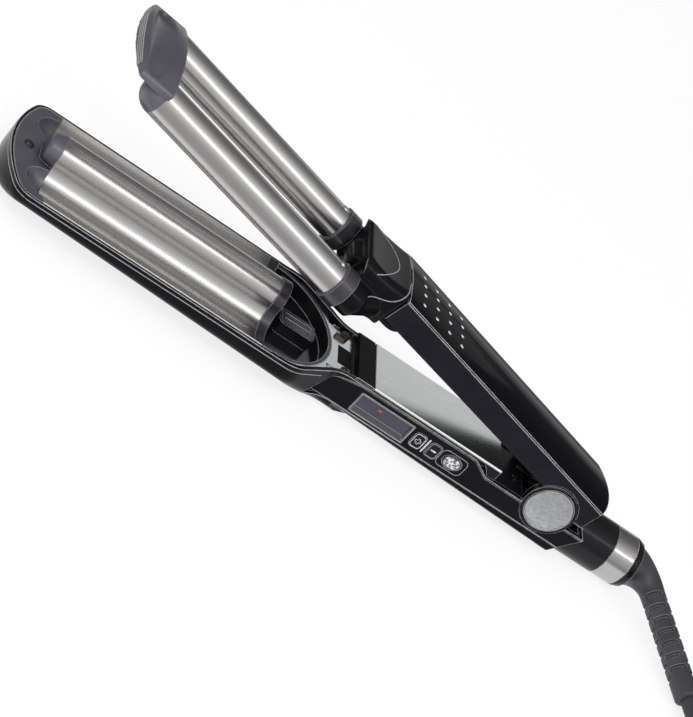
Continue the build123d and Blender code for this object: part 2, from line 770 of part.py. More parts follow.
with BuildPart() as deck_frame:
    # plinth with a lip over the rim
    with BuildSketch(Plane.XY.offset(deck_base)):
        with Locations((deck_front, 0)):
            Rectangle(deck_rear - deck_front, 2 * deck_half, align=(Align.MIN, Align.CENTER))
    extrude(amount=grip_rim + slip - deck_base)
    with BuildSketch(Plane.XY.offset(deck_base)):
        with Locations((deck_front, 0)):
            Rectangle(deck_rear - deck_front, 2 * deck_inner, align=(Align.MIN, Align.CENTER))
    extrude(amount=-deck_depth)
    # skirts down to the stepped rim
    with BuildSketch(Plane.XZ.offset(deck_inner)):
        with BuildLine():
            Polyline(
                (step_front + step_r, deck_base),
                (deck_rear, deck_base),
                (deck_rear, step_rim + fit),
                (step_rear + fit, step_rim + fit),
                close=True,
            )
        make_face()
    extrude(amount=deck_half - deck_inner)
    mirror(about=Plane.XZ)
    # riser and lower deck in front of the hinge
    with BuildSketch(Plane.XZ.offset(-deck_inner)):
        with BuildLine():
            Polyline(
                (deck_rear - deck_wall, deck_base),
                (deck_rear, deck_base),
                (deck_rear, well_deck_z),
                (well_deck_rear, well_deck_z),
                (well_deck_rear, well_deck_z - deck_wall),
                (deck_rear - deck_wall, well_deck_z - deck_wall),
                close=True,
            )
        make_face()
    extrude(amount=2 * deck_inner)
    # hollow underneath
    with BuildSketch(Plane.XY.offset(deck_base - deck_wall)):
        with Locations((deck_front + deck_wall, 0)):
            Rectangle(
                deck_rear - deck_front - 2 * deck_wall, 2 * (deck_inner - deck_wall), align=(Align.MIN, Align.CENTER)
            )
    extrude(amount=-deep, mode=Mode.SUBTRACT)
    for side in (1, -1):
        add(disc(knuckle_r + fit, *sorted((side * (knuckle_out - knuckle_thick - fit), side * deep))), mode=Mode.SUBTRACT)
    with BuildSketch(Plane.XY.offset(well_deck_z)):
        with Locations(deck_screw):
            Circle(screw_shank_r + slip)
    extrude(amount=-2 * deck_wall, mode=Mode.SUBTRACT)
finish(deck_frame, "deck_frame", seat)

with BuildPart() as deck_plate:
    with BuildSketch(Plane.XY.offset(deck_top)):
        with Locations((deck_front, 0)):
            Rectangle(deck_rear - deck_front, 2 * deck_half, align=(Align.MIN, Align.CENTER))
    extrude(amount=-deck_sheet)
    chamfer(edges().group_by(Axis.Z)[-1], deck_sheet / 3)
finish(deck_plate, "deck_plate", seat)

# ================================================================ side panels and controls
screen_z = (screen_top + screen_bottom) / 2
screen_h = screen_top - screen_bottom
lens_h = screen_top - lens_bottom
lens_z = (screen_top + lens_bottom) / 2

with BuildPart() as side_panel_right:
    with BuildSketch(Plane.XZ.offset(-panel_face)):
        panel_outline(0)
    extrude(amount=panel_sheet - slip)
    chamfer(faces().sort_by(Axis.Y)[-1].edges(), panel_proud)
finish(side_panel_right, "side_panel_right", seat)

with BuildPart() as side_panel_left:
    with BuildSketch(Plane.XZ.offset(panel_face)):
        panel_outline(0)
    extrude(amount=slip - panel_sheet)
    chamfer(faces().sort_by(Axis.Y)[0].edges(), panel_proud)
    with BuildSketch(Plane.XZ.offset(panel_face)):
        with Locations((screen_x, screen_z)):
            Rectangle(screen_w + 2 * bezel_rim + 2 * slip, screen_h + 2 * bezel_rim + 2 * slip)
        with Locations((plus_x, key_z), (minus_x, key_z)):
            RectangleRounded(key_w + 2 * key_gap, key_h + 2 * key_gap, key_r + key_gap)
        with Locations((power_x, key_z)):
            Ellipse(power_w / 2 + key_gap, power_h / 2 + key_gap)
    extrude(amount=-deep, mode=Mode.SUBTRACT)
finish(side_panel_left, "side_panel_left", seat)

with BuildPart() as display_bezel:
    with BuildSketch(Plane.XZ.offset(panel_face + slip)):
        with Locations((screen_x, screen_z)):
            Rectangle(screen_w + 2 * bezel_rim, screen_h + 2 * bezel_rim)
    extrude(amount=-lens_deep)
    with BuildSketch(Plane.XZ.offset(panel_face + slip)):
        with Locations((screen_x, screen_z)):
            Rectangle(screen_w, screen_h)
    with BuildSketch(Plane.XZ.offset(panel_face + slip - lens_deep)):
        with Locations((screen_x, lens_z)):
            Rectangle(screen_w - bezel_rim, lens_h)
    loft(mode=Mode.SUBTRACT)
finish(display_bezel, "display_bezel", seat)

lens_face = panel_face - lens_deep

with BuildPart() as display_lens:
    with BuildSketch(Plane.XZ.offset(lens_face)):
        with Locations((screen_x, lens_z)):
            Rectangle(screen_w, lens_h + bezel_rim / 2)
    extrude(amount=-lens_sheet)
finish(display_lens, "display_lens", seat)

with BuildPart() as display_module:
    with BuildSketch(Plane.XZ.offset(lens_face - lens_sheet - slip)):
        with Locations((screen_x, lens_z)):
            Rectangle(screen_w - bezel_rim, lens_h)
    extrude(amount=board_face + 2 * slip + lens_sheet - lens_face)
finish(display_module, "display_module", seat)

with BuildPart() as control_board:
    with BuildSketch(Plane.XZ.offset(board_face)):
        with Locations(((board_front + board_rear) / 2, (board_top + board_bottom) / 2)):
            Rectangle(board_rear - board_front, board_top - board_bottom)
    extrude(amount=-board_thick)
finish(control_board, "control_board", seat)

with BuildPart() as tact_switches:
    with BuildSketch(Plane.XZ.offset(board_face + slip)):
        with Locations((plus_x, key_z), (minus_x, key_z), (power_x, key_z)):
            Rectangle(switch_w, switch_w)
    extrude(amount=switch_t - slip)
finish(tact_switches, "tact_switches", seat)

stem_end = board_face + switch_t + key_travel + slip


def key(label, spot, width, height, oval):
    """Push button: cap through the panel, flange behind it, stem to its switch."""
    with BuildPart() as button:
        with BuildSketch(Plane.XZ.offset(panel_face + key_proud)):
            with Locations(spot):
                if oval:
                    Ellipse(width / 2, height / 2)
                else:
                    RectangleRounded(width, height, key_r)
        extrude(amount=key_back - panel_face - key_proud)
        fillet(faces().sort_by(Axis.Y)[0].edges(), key_proud * 0.8)
        with BuildSketch(Plane.XZ.offset(key_back)):
            with Locations(spot):
                Rectangle(width + 2 * key_flange, height + 2 * key_flange)
        extrude(amount=-key_flange)
        with BuildSketch(Plane.XZ.offset(key_back)):
            with Locations(spot):
                Rectangle(switch_w / 2, switch_w / 2)
        extrude(amount=stem_end - key_back)
    finish(button, label, seat)
    return button


button_plus = key("button_plus", (plus_x, key_z), key_w, key_h, False)
button_minus = key("button_minus", (minus_x, key_z), key_w, key_h, False)
button_power = key("button_power", (power_x, key_z), power_w, power_h, True)

# ================================================================ hinge
with BuildPart() as hinge_pin:
    add(disc(pin_r, slip + disc_thick - disc_face, disc_face - disc_thick - slip))
    chamfer(edges().filter_by(GeomType.CIRCLE), pin_r / 8)
finish(hinge_pin, "hinge_pin", seat)

for side, name in ((1, "left"), (-1, "right")):
    with BuildPart() as hinge_cap:
        add(disc(disc_r, *sorted((side * (disc_face - disc_thick), side * disc_face))))
        fillet(faces().sort_by(Axis.Y)[0 if side > 0 else -1].edges(), disc_thick / 4)
    finish(hinge_cap, f"hinge_cap_{name}", seat)

    with BuildPart() as hinge_bezel:
        add(disc(disc_r + 2 * fit + bezel_width, *sorted((side * (knuckle_out + slip), side * disc_face))))
        fillet(faces().sort_by(Axis.Y)[0 if side > 0 else -1].edges(), (disc_face - knuckle_out) / 2)
        add(disc(disc_r + 2 * fit, -deep, deep), mode=Mode.SUBTRACT)
    finish(hinge_bezel, f"hinge_bezel_{name}", seat)

# torsion spring round the pin: the lower leg lies on the lower deck, the upper
# one under the floor of the upper arm
spring_pitch = spring_wire * 1.1
spring_length = spring_pitch * spring_turns
with BuildPart() as return_spring:
    with BuildLine():
        coil = Helix(spring_pitch, spring_length, spring_r, center=(0, -spring_length / 2, 0), direction=(0, 1, 0))
    with BuildSketch(Plane(origin=coil @ 0, z_dir=coil % 0)):
        Circle(spring_wire / 2)
    sweep(path=coil, is_frenet=True)
    with BuildSketch(Plane(origin=coil @ 0, z_dir=coil % 0)):
        Circle(spring_wire / 2)
    extrude(amount=-spring_leg)
    with BuildSketch(Plane(origin=coil @ 1, z_dir=coil % 1)):
        Circle(spring_wire / 2)
    extrude(amount=spring_leg)
finish(return_spring, "return_spring", seat)

# ================================================================ tail and swivel
def turned(*profile):
    """Piece turned about the tail axis from (station, radius) corners."""
    with BuildPart() as body:
        with BuildSketch(Plane.XZ):
            with BuildLine():
                Polyline(*[(x, radius - tail_drop) for x, radius in profile], close=True)
            make_face()
        revolve(axis=Axis((0, 0, -tail_drop), (1, 0, 0)))
    return body.part


ring_bore_r = tail_r - tail_ring_wall
cage_r = ring_bore_r - slip
with BuildPart() as tail_barrel:
    with BuildSketch(tail_axis.offset(tail_front)):
        Circle(tail_r)
    extrude(amount=tail_ring_front - tail_front)
    add(grip_body(step_rim + fit, -fit), mode=Mode.SUBTRACT)
    with BuildSketch(tail_axis.offset(tail_spigot_front)):
        Circle(tail_spigot_r)
    extrude(amount=tail_ring_front - tail_spigot_front)
    with BuildSketch(tail_axis.offset(tail_ring_front)):
        Circle(cage_r)
    extrude(amount=cage_rear - tail_ring_front)
    with BuildSketch(tail_axis.offset(tail_spigot_front)):
        Circle(tail_bore_r)
    extrude(amount=cage_rear - tail_spigot_front, mode=Mode.SUBTRACT)
    with BuildSketch(tail_axis.offset(cage_front)):
        Circle(flange_r + 2 * fit)
    extrude(amount=cage_rear - cage_front, mode=Mode.SUBTRACT)
finish(tail_barrel, "tail_barrel", seat)

with BuildPart() as tail_ring:
    add(
        turned(
            (tail_ring_front + slip, ring_bore_r),
            (tail_ring_front + slip, tail_r),
            (tail_ring_rear, tail_r),
            (tail_ring_rear, ring_bore_r),
        )
    )
finish(tail_ring, "tail_ring", seat)

with BuildPart() as tail_cap:
    add(
        turned(
            (cage_rear + slip, boot_neck_r + slip),
            (cage_rear + slip, cage_r),
            (tail_ring_rear + slip, cage_r),
            (tail_ring_rear + slip, tail_r - slip),
            (tail_cap_rear - 2 * tail_ring_wall, tail_r - slip),
            (tail_cap_rear, tail_cap_r),
            (tail_cap_rear, boot_neck_r + slip),
        )
    )
finish(tail_cap, "tail_cap", seat)

flange_front = (cage_front + cage_rear - flange_length) / 2
with BuildPart() as swivel_collar:
    add(
        turned(
            (flange_front, boot_stem_r),
            (flange_front, flange_r),
            (flange_front + flange_length, flange_r),
            (flange_front + flange_length, boot_neck_r),
            (tail_cap_rear + 2 * fit, boot_neck_r),
            (tail_cap_rear + 2 * fit, boot_stem_r),
        )
    )
finish(swivel_collar, "swivel_collar", seat)

# ================================================================ upper arm
arm_run = arm_rear - arm_front
arm_drop = arm_edge_front - arm_edge_rear
arm_slope = arm_drop / arm_run
arm_length = sqrt(arm_run**2 + arm_drop**2)
# across the arm at its front edge, and along its sloping top edge
arm_across = Plane(origin=(arm_front, 0, arm_edge_front), x_dir=(0, 1, 0), z_dir=(arm_run, 0, -arm_drop))
arm_along = Plane(origin=(arm_front, 0, arm_edge_front), x_dir=(arm_run, 0, -arm_drop), z_dir=(arm_drop, 0, arm_run))
crown_r = (arm_half**2 + crown_rise**2) / (2 * crown_rise)


def arm_plan(inset, tail_inset):
    """Plan of the upper arm: straight sides and a swept rear end."""
    half = arm_half - inset
    bulge = arm_tail_r - sqrt(arm_tail_r**2 - half**2)
    rear = arm_rear - tail_inset
    with BuildLine() as outline:
        Polyline((rear, half), (arm_front, half), (arm_front, -half), (rear, -half))
        ThreePointArc((rear, half), (rear + bulge, 0), (rear, -half))
    make_face(outline.edges())


with BuildPart() as upper_chassis:
    with BuildSketch(Plane.XY.offset(arm_bottom)):
        arm_plan(0, 0)
    extrude(amount=arm_edge_front - arm_bottom + 1)
    fillet(edges().group_by(Axis.Z)[0].filter_by(Axis.X), arm_edge_r)
    with BuildSketch(Plane.XY.offset(arm_bottom + arm_wall)):
        arm_plan(arm_wall, arm_wall)
        with Locations((arm_front, 0)):
            Rectangle(2 * arm_wall, 2 * arm_half, mode=Mode.SUBTRACT)
    extrude(amount=deep, mode=Mode.SUBTRACT)
    # top edge slopes down to the rear
    with BuildSketch(arm_along):
        Rectangle(4 * arm_length, deep)
    extrude(amount=deep, mode=Mode.SUBTRACT)
    # open behind the hinge, over the tail barrel
    with BuildSketch(Plane.XY):
        with Locations((floor_rear, 0)):
            Rectangle(deep, 2 * (arm_half - arm_wall), align=(Align.MIN, Align.CENTER))
    extrude(amount=arm_tail_low, mode=Mode.SUBTRACT)
    # side walls stop short of the knuckles
    add(disc(knuckle_r + swing_gap, ear_out + fit, deep), mode=Mode.SUBTRACT)
    add(disc(knuckle_r + swing_gap, -deep, -ear_out - fit), mode=Mode.SUBTRACT)
    # ears on the pin
    for side in (1, -1):
        near, far = sorted((side * (ear_out - ear_thick), side * ear_out))
        with BuildSketch(Plane.XZ.offset(near)):
            Circle(ear_r)
            with Locations((floor_rear, 0)):
                Rectangle(ear_r + floor_rear, arm_bottom + arm_wall / 2, align=(Align.MAX, Align.MIN))
        extrude(amount=far - near)
    add(disc(pin_r + slip, -deep, deep), mode=Mode.SUBTRACT)
finish(upper_chassis, "upper_chassis", swing)

with BuildPart() as upper_cover:
    with BuildSketch(arm_across.offset(slip)):
        with BuildLine():
            inner = arm_half - cover_sheet
            Polyline((-inner, slip), (-arm_half, slip), (-arm_half, cover_side))
            RadiusArc((-arm_half, cover_side), (arm_half, cover_side), crown_r)
            Polyline((arm_half, cover_side), (arm_half, slip), (inner, slip))
            RadiusArc((-inner, slip), (inner, slip), crown_r)
        make_face()
    extrude(amount=arm_length + arm_half)
    with BuildSketch(Plane.XY):
        arm_plan(0, 0)
    extrude(amount=deep, mode=Mode.INTERSECT)
    # grip dimples
    surface = cover_side + crown_rise
    with Locations(arm_along):
        for column in range(dimple_count):
            across = dimple_gap * (column - (dimple_count - 1) / 2)
            height = surface - across**2 / (2 * crown_r)
            with Locations((dimple_front + dimple_step * (dimple_count - 1) / 2, across, height)):
                with GridLocations(dimple_step, 1, dimple_count, 1):
                    Cone(dimple_r / 2, dimple_r, 2 * dimple_deep, mode=Mode.SUBTRACT)
finish(upper_cover, "upper_cover", swing)

# ================================================================ neck of the upper arm
# stub that carries a barrel, faired into the neck
with BuildPart() as barrel_seat:
    with BuildSketch(Plane.YZ.offset(barrel_rear)):
        with Locations((barrel_pitch / 2, barrel_height)):
            Circle(collar_bore_r - slip)
    extrude(amount=collar_rear + slip - barrel_rear)
    with BuildSketch(Plane.YZ.offset(collar_rear + slip)):
        with Locations((barrel_pitch / 2, barrel_height)):
            Circle(stub_r)
    extrude(amount=stub_rear - collar_rear)
    with BuildSketch(Plane.YZ.offset(stub_rear - fairing_lap)):
        with Locations((barrel_pitch / 2, barrel_height)):
            Circle(stub_r - fairing_lap / 2)
    with BuildSketch(Plane.YZ.offset(fairing_rear)):
        with Locations((fairing_y, fairing_z)):
            Circle(fairing_r)
    loft()

with BuildPart() as upper_neck:
    # side profile: shoulder over the barrels, underside that climbs to the heel
    neck_rear = arm_front - slip
    with BuildSketch(Plane.XZ):
        with BuildLine():
            Polyline(
                (neck_rear, neck_heel_low),
                (neck_heel_front, neck_heel_low),
                (neck_step, neck_low),
                (neck_front, neck_low),
                (neck_front, bridge_high),
                (neck_shoulder, arm_edge_front),
                (neck_shoulder + cover_sheet, arm_edge_front + cover_side),
            )
            Spline(
                (neck_shoulder + cover_sheet, arm_edge_front + cover_side),
                (neck_step - neck_edge_r, arm_edge_front + cover_side - crown_rise / 3),
                (neck_rear, arm_edge_front + cover_side + crown_rise),
            )
            Line((neck_rear, arm_edge_front + cover_side + crown_rise), (neck_rear, neck_heel_low))
        make_face()
    extrude(amount=neck_half_front, both=True)
    # plan narrows from the shoulder to the grip
    with BuildSketch(Plane.XY.offset(-deep)):
        with BuildLine():
            Polyline(
                (neck_rear, arm_half),
                (neck_shoulder, neck_half_front),
                (neck_shoulder, -neck_half_front),
                (neck_rear, -arm_half),
                close=True,
            )
        make_face()
    extrude(amount=2 * deep, mode=Mode.INTERSECT)
    top_edges = edges().filter_by(lambda edge: edge.center().Z > arm_edge_front and abs(edge.center().Y) > arm_half / 2)
    fillet(top_edges.sort_by(SortBy.LENGTH)[-2:], neck_edge_r)
    add(barrel_seat.part)
    add(mirror(barrel_seat.part, about=Plane.XZ, mode=Mode.PRIVATE))
    # bridge between the barrels
    with BuildSketch(Plane.XZ):
        with BuildLine():
            Polyline(
                (neck_front + slip, bridge_low),
                (bridge_front, bridge_low),
                (bridge_front, bridge_high),
                (neck_front + slip, bridge_high),
                close=True,
            )
        make_face()
        fillet(vertices().group_by(Axis.X)[0], (neck_front - bridge_front) * 0.9)
    extrude(amount=bridge_half, both=True)
    # heel that lands on the pad, under the front of the grip
    with BuildSketch(Plane.XZ.offset(heel_lap - pad_low_y)):
        with Locations((heel_x, heel_low + heel_r)):
            Circle(heel_r)
        with Locations((heel_x, heel_low)):
            Rectangle(heel_x - neck_heel_front, heel_r, align=(Align.MAX, Align.MIN), mode=Mode.SUBTRACT)
            Rectangle(heel_x - neck_rear, heel_r, align=(Align.MAX, Align.MIN))
        with Locations((neck_rear - slip, arm_bottom - slip)):
            Rectangle(deep, deep, align=(Align.MIN, Align.MIN), mode=Mode.SUBTRACT)
    extrude(amount=pad_low_y - pad_high_y - 2 * heel_lap)
    # channel that clears the raised block in the recess
    with BuildSketch(Plane.YZ.offset(neck_shoulder)):
        with Locations((0, neck_heel_low)):
            Rectangle(2 * (neck_block_half + 1), deep, align=(Align.CENTER, Align.MAX))
    extrude(amount=neck_heel_front - neck_shoulder, mode=Mode.SUBTRACT)
finish(upper_neck, "upper_neck", swing)

# ================================================================ barrels and tip
def dome_half(grow):
    """Half section of a barrel's rounded end, its surface moved out by grow."""
    with BuildLine() as outline:
        EllipticalCenterArc((0, 0), dome_length + grow, barrel_r + grow, start_angle=90, arc_size=90)
        Polyline((-dome_length - grow, 0), (0, 0), (0, barrel_r + grow))
    make_face(outline.edges())


heaters = []
for side, name in ((-1, "left"), (1, "right")):
    axis_y = side * barrel_pitch / 2
    barrel_plane = Plane(origin=(barrel_front, axis_y, barrel_height), x_dir=(0, 1, 0), z_dir=(1, 0, 0))
    tip_plane = Plane(origin=(barrel_front, axis_y, barrel_height), x_dir=(1, 0, 0), z_dir=(0, -1, 0))
    tip_axis = Axis((barrel_front, axis_y, barrel_height), (1, 0, 0))

    with BuildPart() as barrel:
        with BuildSketch(barrel_plane):
            Circle(barrel_r)
            Circle(barrel_r - barrel_wall, mode=Mode.SUBTRACT)
        extrude(amount=barrel_rear - barrel_front)
    finish(barrel, f"barrel_{name}", swing)

    with BuildPart() as barrel_collar:
        with BuildSketch(barrel_plane.offset(collar_front - barrel_front)):
            Circle(collar_r)
        extrude(amount=collar_rear - collar_front)
        chamfer(edges().group_by(Axis.X)[0], (collar_r - barrel_r) / 2)
        with BuildSketch(barrel_plane.offset(collar_front - barrel_front)):
            Circle(barrel_r + slip)
        extrude(amount=barrel_rear + slip - collar_front, mode=Mode.SUBTRACT)
        with BuildSketch(barrel_plane.offset(collar_front - barrel_front)):
            Circle(collar_bore_r)
        extrude(amount=collar_rear - collar_front, mode=Mode.SUBTRACT)
    finish(barrel_collar, f"barrel_collar_{name}", swing)

    with BuildPart() as barrel_tip:
        with BuildSketch(tip_plane):
            dome_half(0)
        revolve(axis=tip_axis)
        with BuildSketch(barrel_plane):
            Circle(plug_r)
        extrude(amount=plug_depth)
    finish(barrel_tip, f"barrel_tip_{name}", swing)

with BuildPart() as barrel_heaters:
    with BuildSketch(Plane.YZ.offset(barrel_front + plug_depth + fit)):
        with Locations((0, barrel_height)):
            with GridLocations(barrel_pitch, 1, 2, 1):
                Circle(heater_r)
    extrude(amount=barrel_rear - 2 * plug_depth - barrel_front)
finish(barrel_heaters, "barrel_heaters", swing)

# ---------------------------------------------------------------- finger rest
rest_rear = barrel_front + rest_lap
rest_corner = rest_rear - rest_side
scoop_x = rest_rear - scoop_back
rest_fall = radians(rest_slope)
rest_way = Vector(cos(rest_fall), 0, sin(rest_fall))
rest_across = Plane(origin=(rest_rear, 0, rest_crown), x_dir=(0, 1, 0), z_dir=rest_way)
rest_centre = rest_corner + sqrt(rest_sweep_r**2 - rest_half**2)
rest_tip = rest_centre - rest_sweep_r


def rest_body(rise):
    """Finger rest before its hollows, its top raised by rise."""
    with BuildPart() as body:
        with BuildSketch(Plane.XY.offset(rest_low)):
            with BuildLine():
                Polyline((rest_corner, rest_half), (rest_rear, rest_half), (rest_rear, -rest_half), (rest_corner, -rest_half))
                ThreePointArc((rest_corner, rest_half), (rest_tip, 0), (rest_corner, -rest_half))
            make_face()
        extrude(amount=deep)
        with BuildSketch(rest_across.offset(deep)):
            with Locations((0, rise - rest_arch_r)):
                Circle(rest_arch_r)
        extrude(amount=-2 * deep, mode=Mode.INTERSECT)
    return body.part


# groove along the arch, its outline an ellipse in plan
scoop_z = rest_crown - (rest_rear - scoop_x) * tan(rest_fall)
scoop_r = (scoop_length**2 / 4 + scoop_deep**2) / (2 * scoop_deep)
scoop_middle = Vector(scoop_x, 0, scoop_z) - Vector(-sin(rest_fall), 0, cos(rest_fall)) * rest_arch_r
with BuildPart() as scoop:
    with Locations(Plane(origin=scoop_middle, z_dir=rest_way)):
        Torus(rest_arch_r + scoop_r - scoop_deep, scoop_r)
    with BuildSketch(Plane.XY):
        with Locations((scoop_x, 0)):
            Ellipse(scoop_length / 2, scoop_half)
    extrude(amount=deep, mode=Mode.INTERSECT)

# arched grip ribs along the front edge
with BuildPart() as rest_grip:
    add(rest_body(rest_rib_proud))
    with BuildSketch(Plane.XY):
        with Locations((scoop_x, 0)):
            for index in reversed(range(rest_ribs)):
                grow = rest_rib_gap + rest_rib_step * index
                Ellipse(scoop_length / 2 + grow + rest_rib_width, scoop_half + grow + rest_rib_width)
                Ellipse(scoop_length / 2 + grow, scoop_half + grow, mode=Mode.SUBTRACT)
        with Locations((rest_tip, 0)):
            Rectangle(2 * (scoop_x - rest_tip), 2 * rest_rib_half, mode=Mode.INTERSECT)
    extrude(amount=deep, mode=Mode.INTERSECT)

# room for the tray's ridge and its nose when the heel is down
ridge_fall = -rest_rear * sin(radians(close_stop))
with BuildPart() as ridge_room:
    for station, radius in ((tray_front - slip - nose_length, nose_r), (tray_front - slip, ridge_r)):
        with BuildSketch(Plane.YZ.offset(station - swing_gap)):
            with Locations((0, ridge_axis - ridge_fall)):
                Circle(radius + swing_gap)
    loft()
    with BuildSketch(Plane.YZ.offset(tray_front - slip - swing_gap)):
        with Locations((0, ridge_axis - ridge_fall)):
            Circle(ridge_r + swing_gap)
    extrude(amount=deep)

with BuildPart() as finger_rest:
    add(rest_body(0))
    side_tops = edges().filter_by(lambda edge: abs(edge.center().Y) > rest_half - slip and edge.center().Z > rest_low + slip)
    fillet(side_tops.filter_by(lambda edge: abs((edge % 0.5).X) > 0.9), rest_shoulder_r)
    add(rest_grip.part)
    add(ridge_room.part, mode=Mode.SUBTRACT)
    for side in (1, -1):
        axis_y = side * barrel_pitch / 2
        with BuildSketch(Plane(origin=(barrel_front, axis_y, barrel_height), x_dir=(0, 1, 0), z_dir=(1, 0, 0))):
            Circle(barrel_r + fit)
        extrude(amount=deep, mode=Mode.SUBTRACT)
        with BuildSketch(Plane(origin=(barrel_front, axis_y, barrel_height), x_dir=(1, 0, 0), z_dir=(0, -1, 0))):
            dome_half(fit)
        revolve(axis=Axis((barrel_front, axis_y, barrel_height), (1, 0, 0)), mode=Mode.SUBTRACT)
    add(scoop.part, mode=Mode.SUBTRACT)
finish(finger_rest, "finger_rest", swing)

# ================================================================ boot, cord and plug
exit_way = Vector(cos(radians(sole_tilt)), 0, sin(radians(sole_tilt)))
boot_start = (seat * Location((tail_cap_rear + 2 * fit, 0, -tail_drop))).position
boot_corner = boot_start + exit_way * boot_corner_reach
boot_way = Vector(boot_heading).normalized()
boot_end = boot_corner + boot_way * boot_run
bend_end = boot_profile[-1][0]

with BuildPart() as cord_boot:
    with BuildLine() as boot_line:
        FilletPolyline(boot_start, boot_corner, boot_end, radius=boot_bend_r)
    boot_wire = boot_line.wires()[0]
    for distance, radius in boot_profile:
        with BuildSketch(Plane(boot_wire.location_at(distance, PositionMode.LENGTH))):
            Circle(radius)
    loft()
    sleeve_start = boot_wire.position_at(bend_end, PositionMode.LENGTH)
    sleeve_r = boot_profile[-1][1]
    with BuildSketch(Plane(origin=sleeve_start, x_dir=(0, 0, 1), z_dir=boot_way)):
        Circle(sleeve_r)
    extrude(amount=(boot_end - sleeve_start).length)
    with BuildSketch(Plane(origin=boot_start, z_dir=exit_way)):
        Circle(boot_stem_r - slip)
    extrude(amount=flange_front - tail_cap_rear - 2 * fit)
    for index in range(boot_slots):
        spot = sleeve_start + boot_way * (boot_slot_pitch * (index + 0.5))
        upright = Vector(0, 0, 1)
        if index % 2:
            upright = upright.cross(boot_way)
        with BuildSketch(Plane(origin=spot, x_dir=upright, z_dir=boot_way)):
            with GridLocations(2 * sleeve_r, 1, 2, 1):
                Rectangle(2 * boot_slot_deep, 2 * sleeve_r)
        extrude(amount=boot_slot_width, mode=Mode.SUBTRACT)
cord_boot.part.label = "cord_boot"
export_step(cord_boot.part, "parts/cord_boot.step")


def cord_radii(points):
    """Bend radius at each inner point: 0.45 of the shorter run over the tangent of half the turn."""
    radii = []
    for before, here, after in zip(points, points[1:], points[2:]):
        arriving = Vector(here) - Vector(before)
        leaving = Vector(after) - Vector(here)
        shorter = min(arriving.length, leaving.length)
        radii.append(0.45 * shorter / tan(radians(arriving.get_angle(leaving)) / 2))
    return radii


def cord_tube(points):
    """Cord along straight runs joined by tangent arcs."""
    with BuildPart() as tube:
        with BuildLine() as route:
            FilletPolyline(*points, radius=cord_radii(points))
        line = route.wires()[0]
        with BuildSketch(Plane(line.location_at(0))):
            Circle(cord_r)
        sweep(path=line)
    print("cord radii", [round(radius) for radius in cord_radii(points)], "length", round(line.length, 1))
    print("volume over section times length", round(tube.part.volume / (line.length * pi * cord_r**2), 4))
    return tube.part


coil_x, coil_y = coil_centre
cord_d = 2 * cord_r
outer_lane = coil_mean_r + cord_r * (coil_wide - 1)
coil_top = tie_sheet + cord_d * coil_high
entry = (
    coil_x + outer_lane * cos(radians(coil_start_angle)),
    coil_y + outer_lane * sin(radians(coil_start_angle)),
    tie_sheet + cord_r + 2 * fit,
)

with BuildPart() as cord_coil:
    with BuildSketch(Plane(origin=(coil_x, coil_y, 0), x_dir=(1, 0, 0), z_dir=(0, -1, 0))):
        with Locations((coil_mean_r, (tie_sheet + coil_top) / 2)):
            RectangleRounded(cord_d * coil_wide, cord_d * coil_high, cord_r)
    revolve(axis=Axis((coil_x, coil_y, 0), (0, 0, 1)))
cord_coil.part.label = "cord_coil"
export_step(cord_coil.part, "parts/cord_coil.step")

with BuildPart() as cord_lead:
    add(cord_tube([boot_end, *lead_points, entry]))
    add(cord_coil.part, mode=Mode.SUBTRACT)
cord_lead.part.label = "cord_lead"
export_step(cord_lead.part, "parts/cord_lead.step")

with BuildPart() as cord_tail:
    add(cord_tube(tail_points))
    add(cord_coil.part, mode=Mode.SUBTRACT)
cord_tail.part.label = "cord_tail"
export_step(cord_tail.part, "parts/cord_tail.step")

with BuildPart() as cord_tie:
    turn = radians(tie_angle)
    outward = Vector(cos(turn), sin(turn), 0)
    middle = Vector(coil_x, coil_y, (tie_sheet + coil_top) / 2) + outward * coil_mean_r
    with BuildSketch(Plane(origin=middle, x_dir=outward, z_dir=(-sin(turn), cos(turn), 0)).offset(-tie_w / 2)):
        slack = 2 * fit + tie_w**2 / (4 * (coil_mean_r - cord_r * coil_wide))
        RectangleRounded(
            cord_d * coil_wide + slack + 2 * tie_sheet, cord_d * coil_high + 2 * tie_sheet, cord_r + tie_sheet
        )
        RectangleRounded(cord_d * coil_wide + slack, cord_d * coil_high, cord_r, mode=Mode.SUBTRACT)
    extrude(amount=tie_w)
cord_tie.part.label = "cord_tie"
export_step(cord_tie.part, "parts/cord_tie.step")

plug_way = Vector(plug_heading).normalized()
plug_across = Vector(0, 0, 1).cross(plug_way)
plug_start = Vector(tail_points[-1])
plug_plane = Plane(origin=plug_start, x_dir=plug_across, z_dir=plug_way)
with BuildPart() as mains_plug:
    with BuildSketch(plug_plane.offset(plug_neck_length)):
        RectangleRounded(plug_w, plug_t, plug_t / 2 - fit)
    extrude(amount=plug_length - plug_neck_length)
    fillet(faces().sort_by(Axis(plug_start, plug_way))[-1].edges(), plug_edge_r / 2)
    with BuildSketch(plug_plane.offset(slip)):
        Circle(plug_neck_r)
    with BuildSketch(plug_plane.offset(plug_neck_length)):
        RectangleRounded(plug_w, plug_t, plug_t / 2 - fit)
    loft()
    with BuildSketch(plug_plane.offset(plug_length)):
        with GridLocations(prong_pitch, 1, 2, 1):
            Circle(prong_r)
    extrude(amount=prong_length)
    chamfer(faces().sort_by(Axis(plug_start, plug_way))[-2:].edges(), prong_r / 2)
mains_plug.part.label = "mains_plug"
export_step(mains_plug.part, "parts/mains_plug.step")
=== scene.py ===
"""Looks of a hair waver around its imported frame.

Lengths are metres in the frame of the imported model: X runs to the cord, Y away
from the keys, Z up from the sole. The arms were drawn with the jaws closed and
the rims level, with the hinge axis as origin, so places on an arm are written
in that arm's own frame and `Stance` carries them to the standing tool.
"""

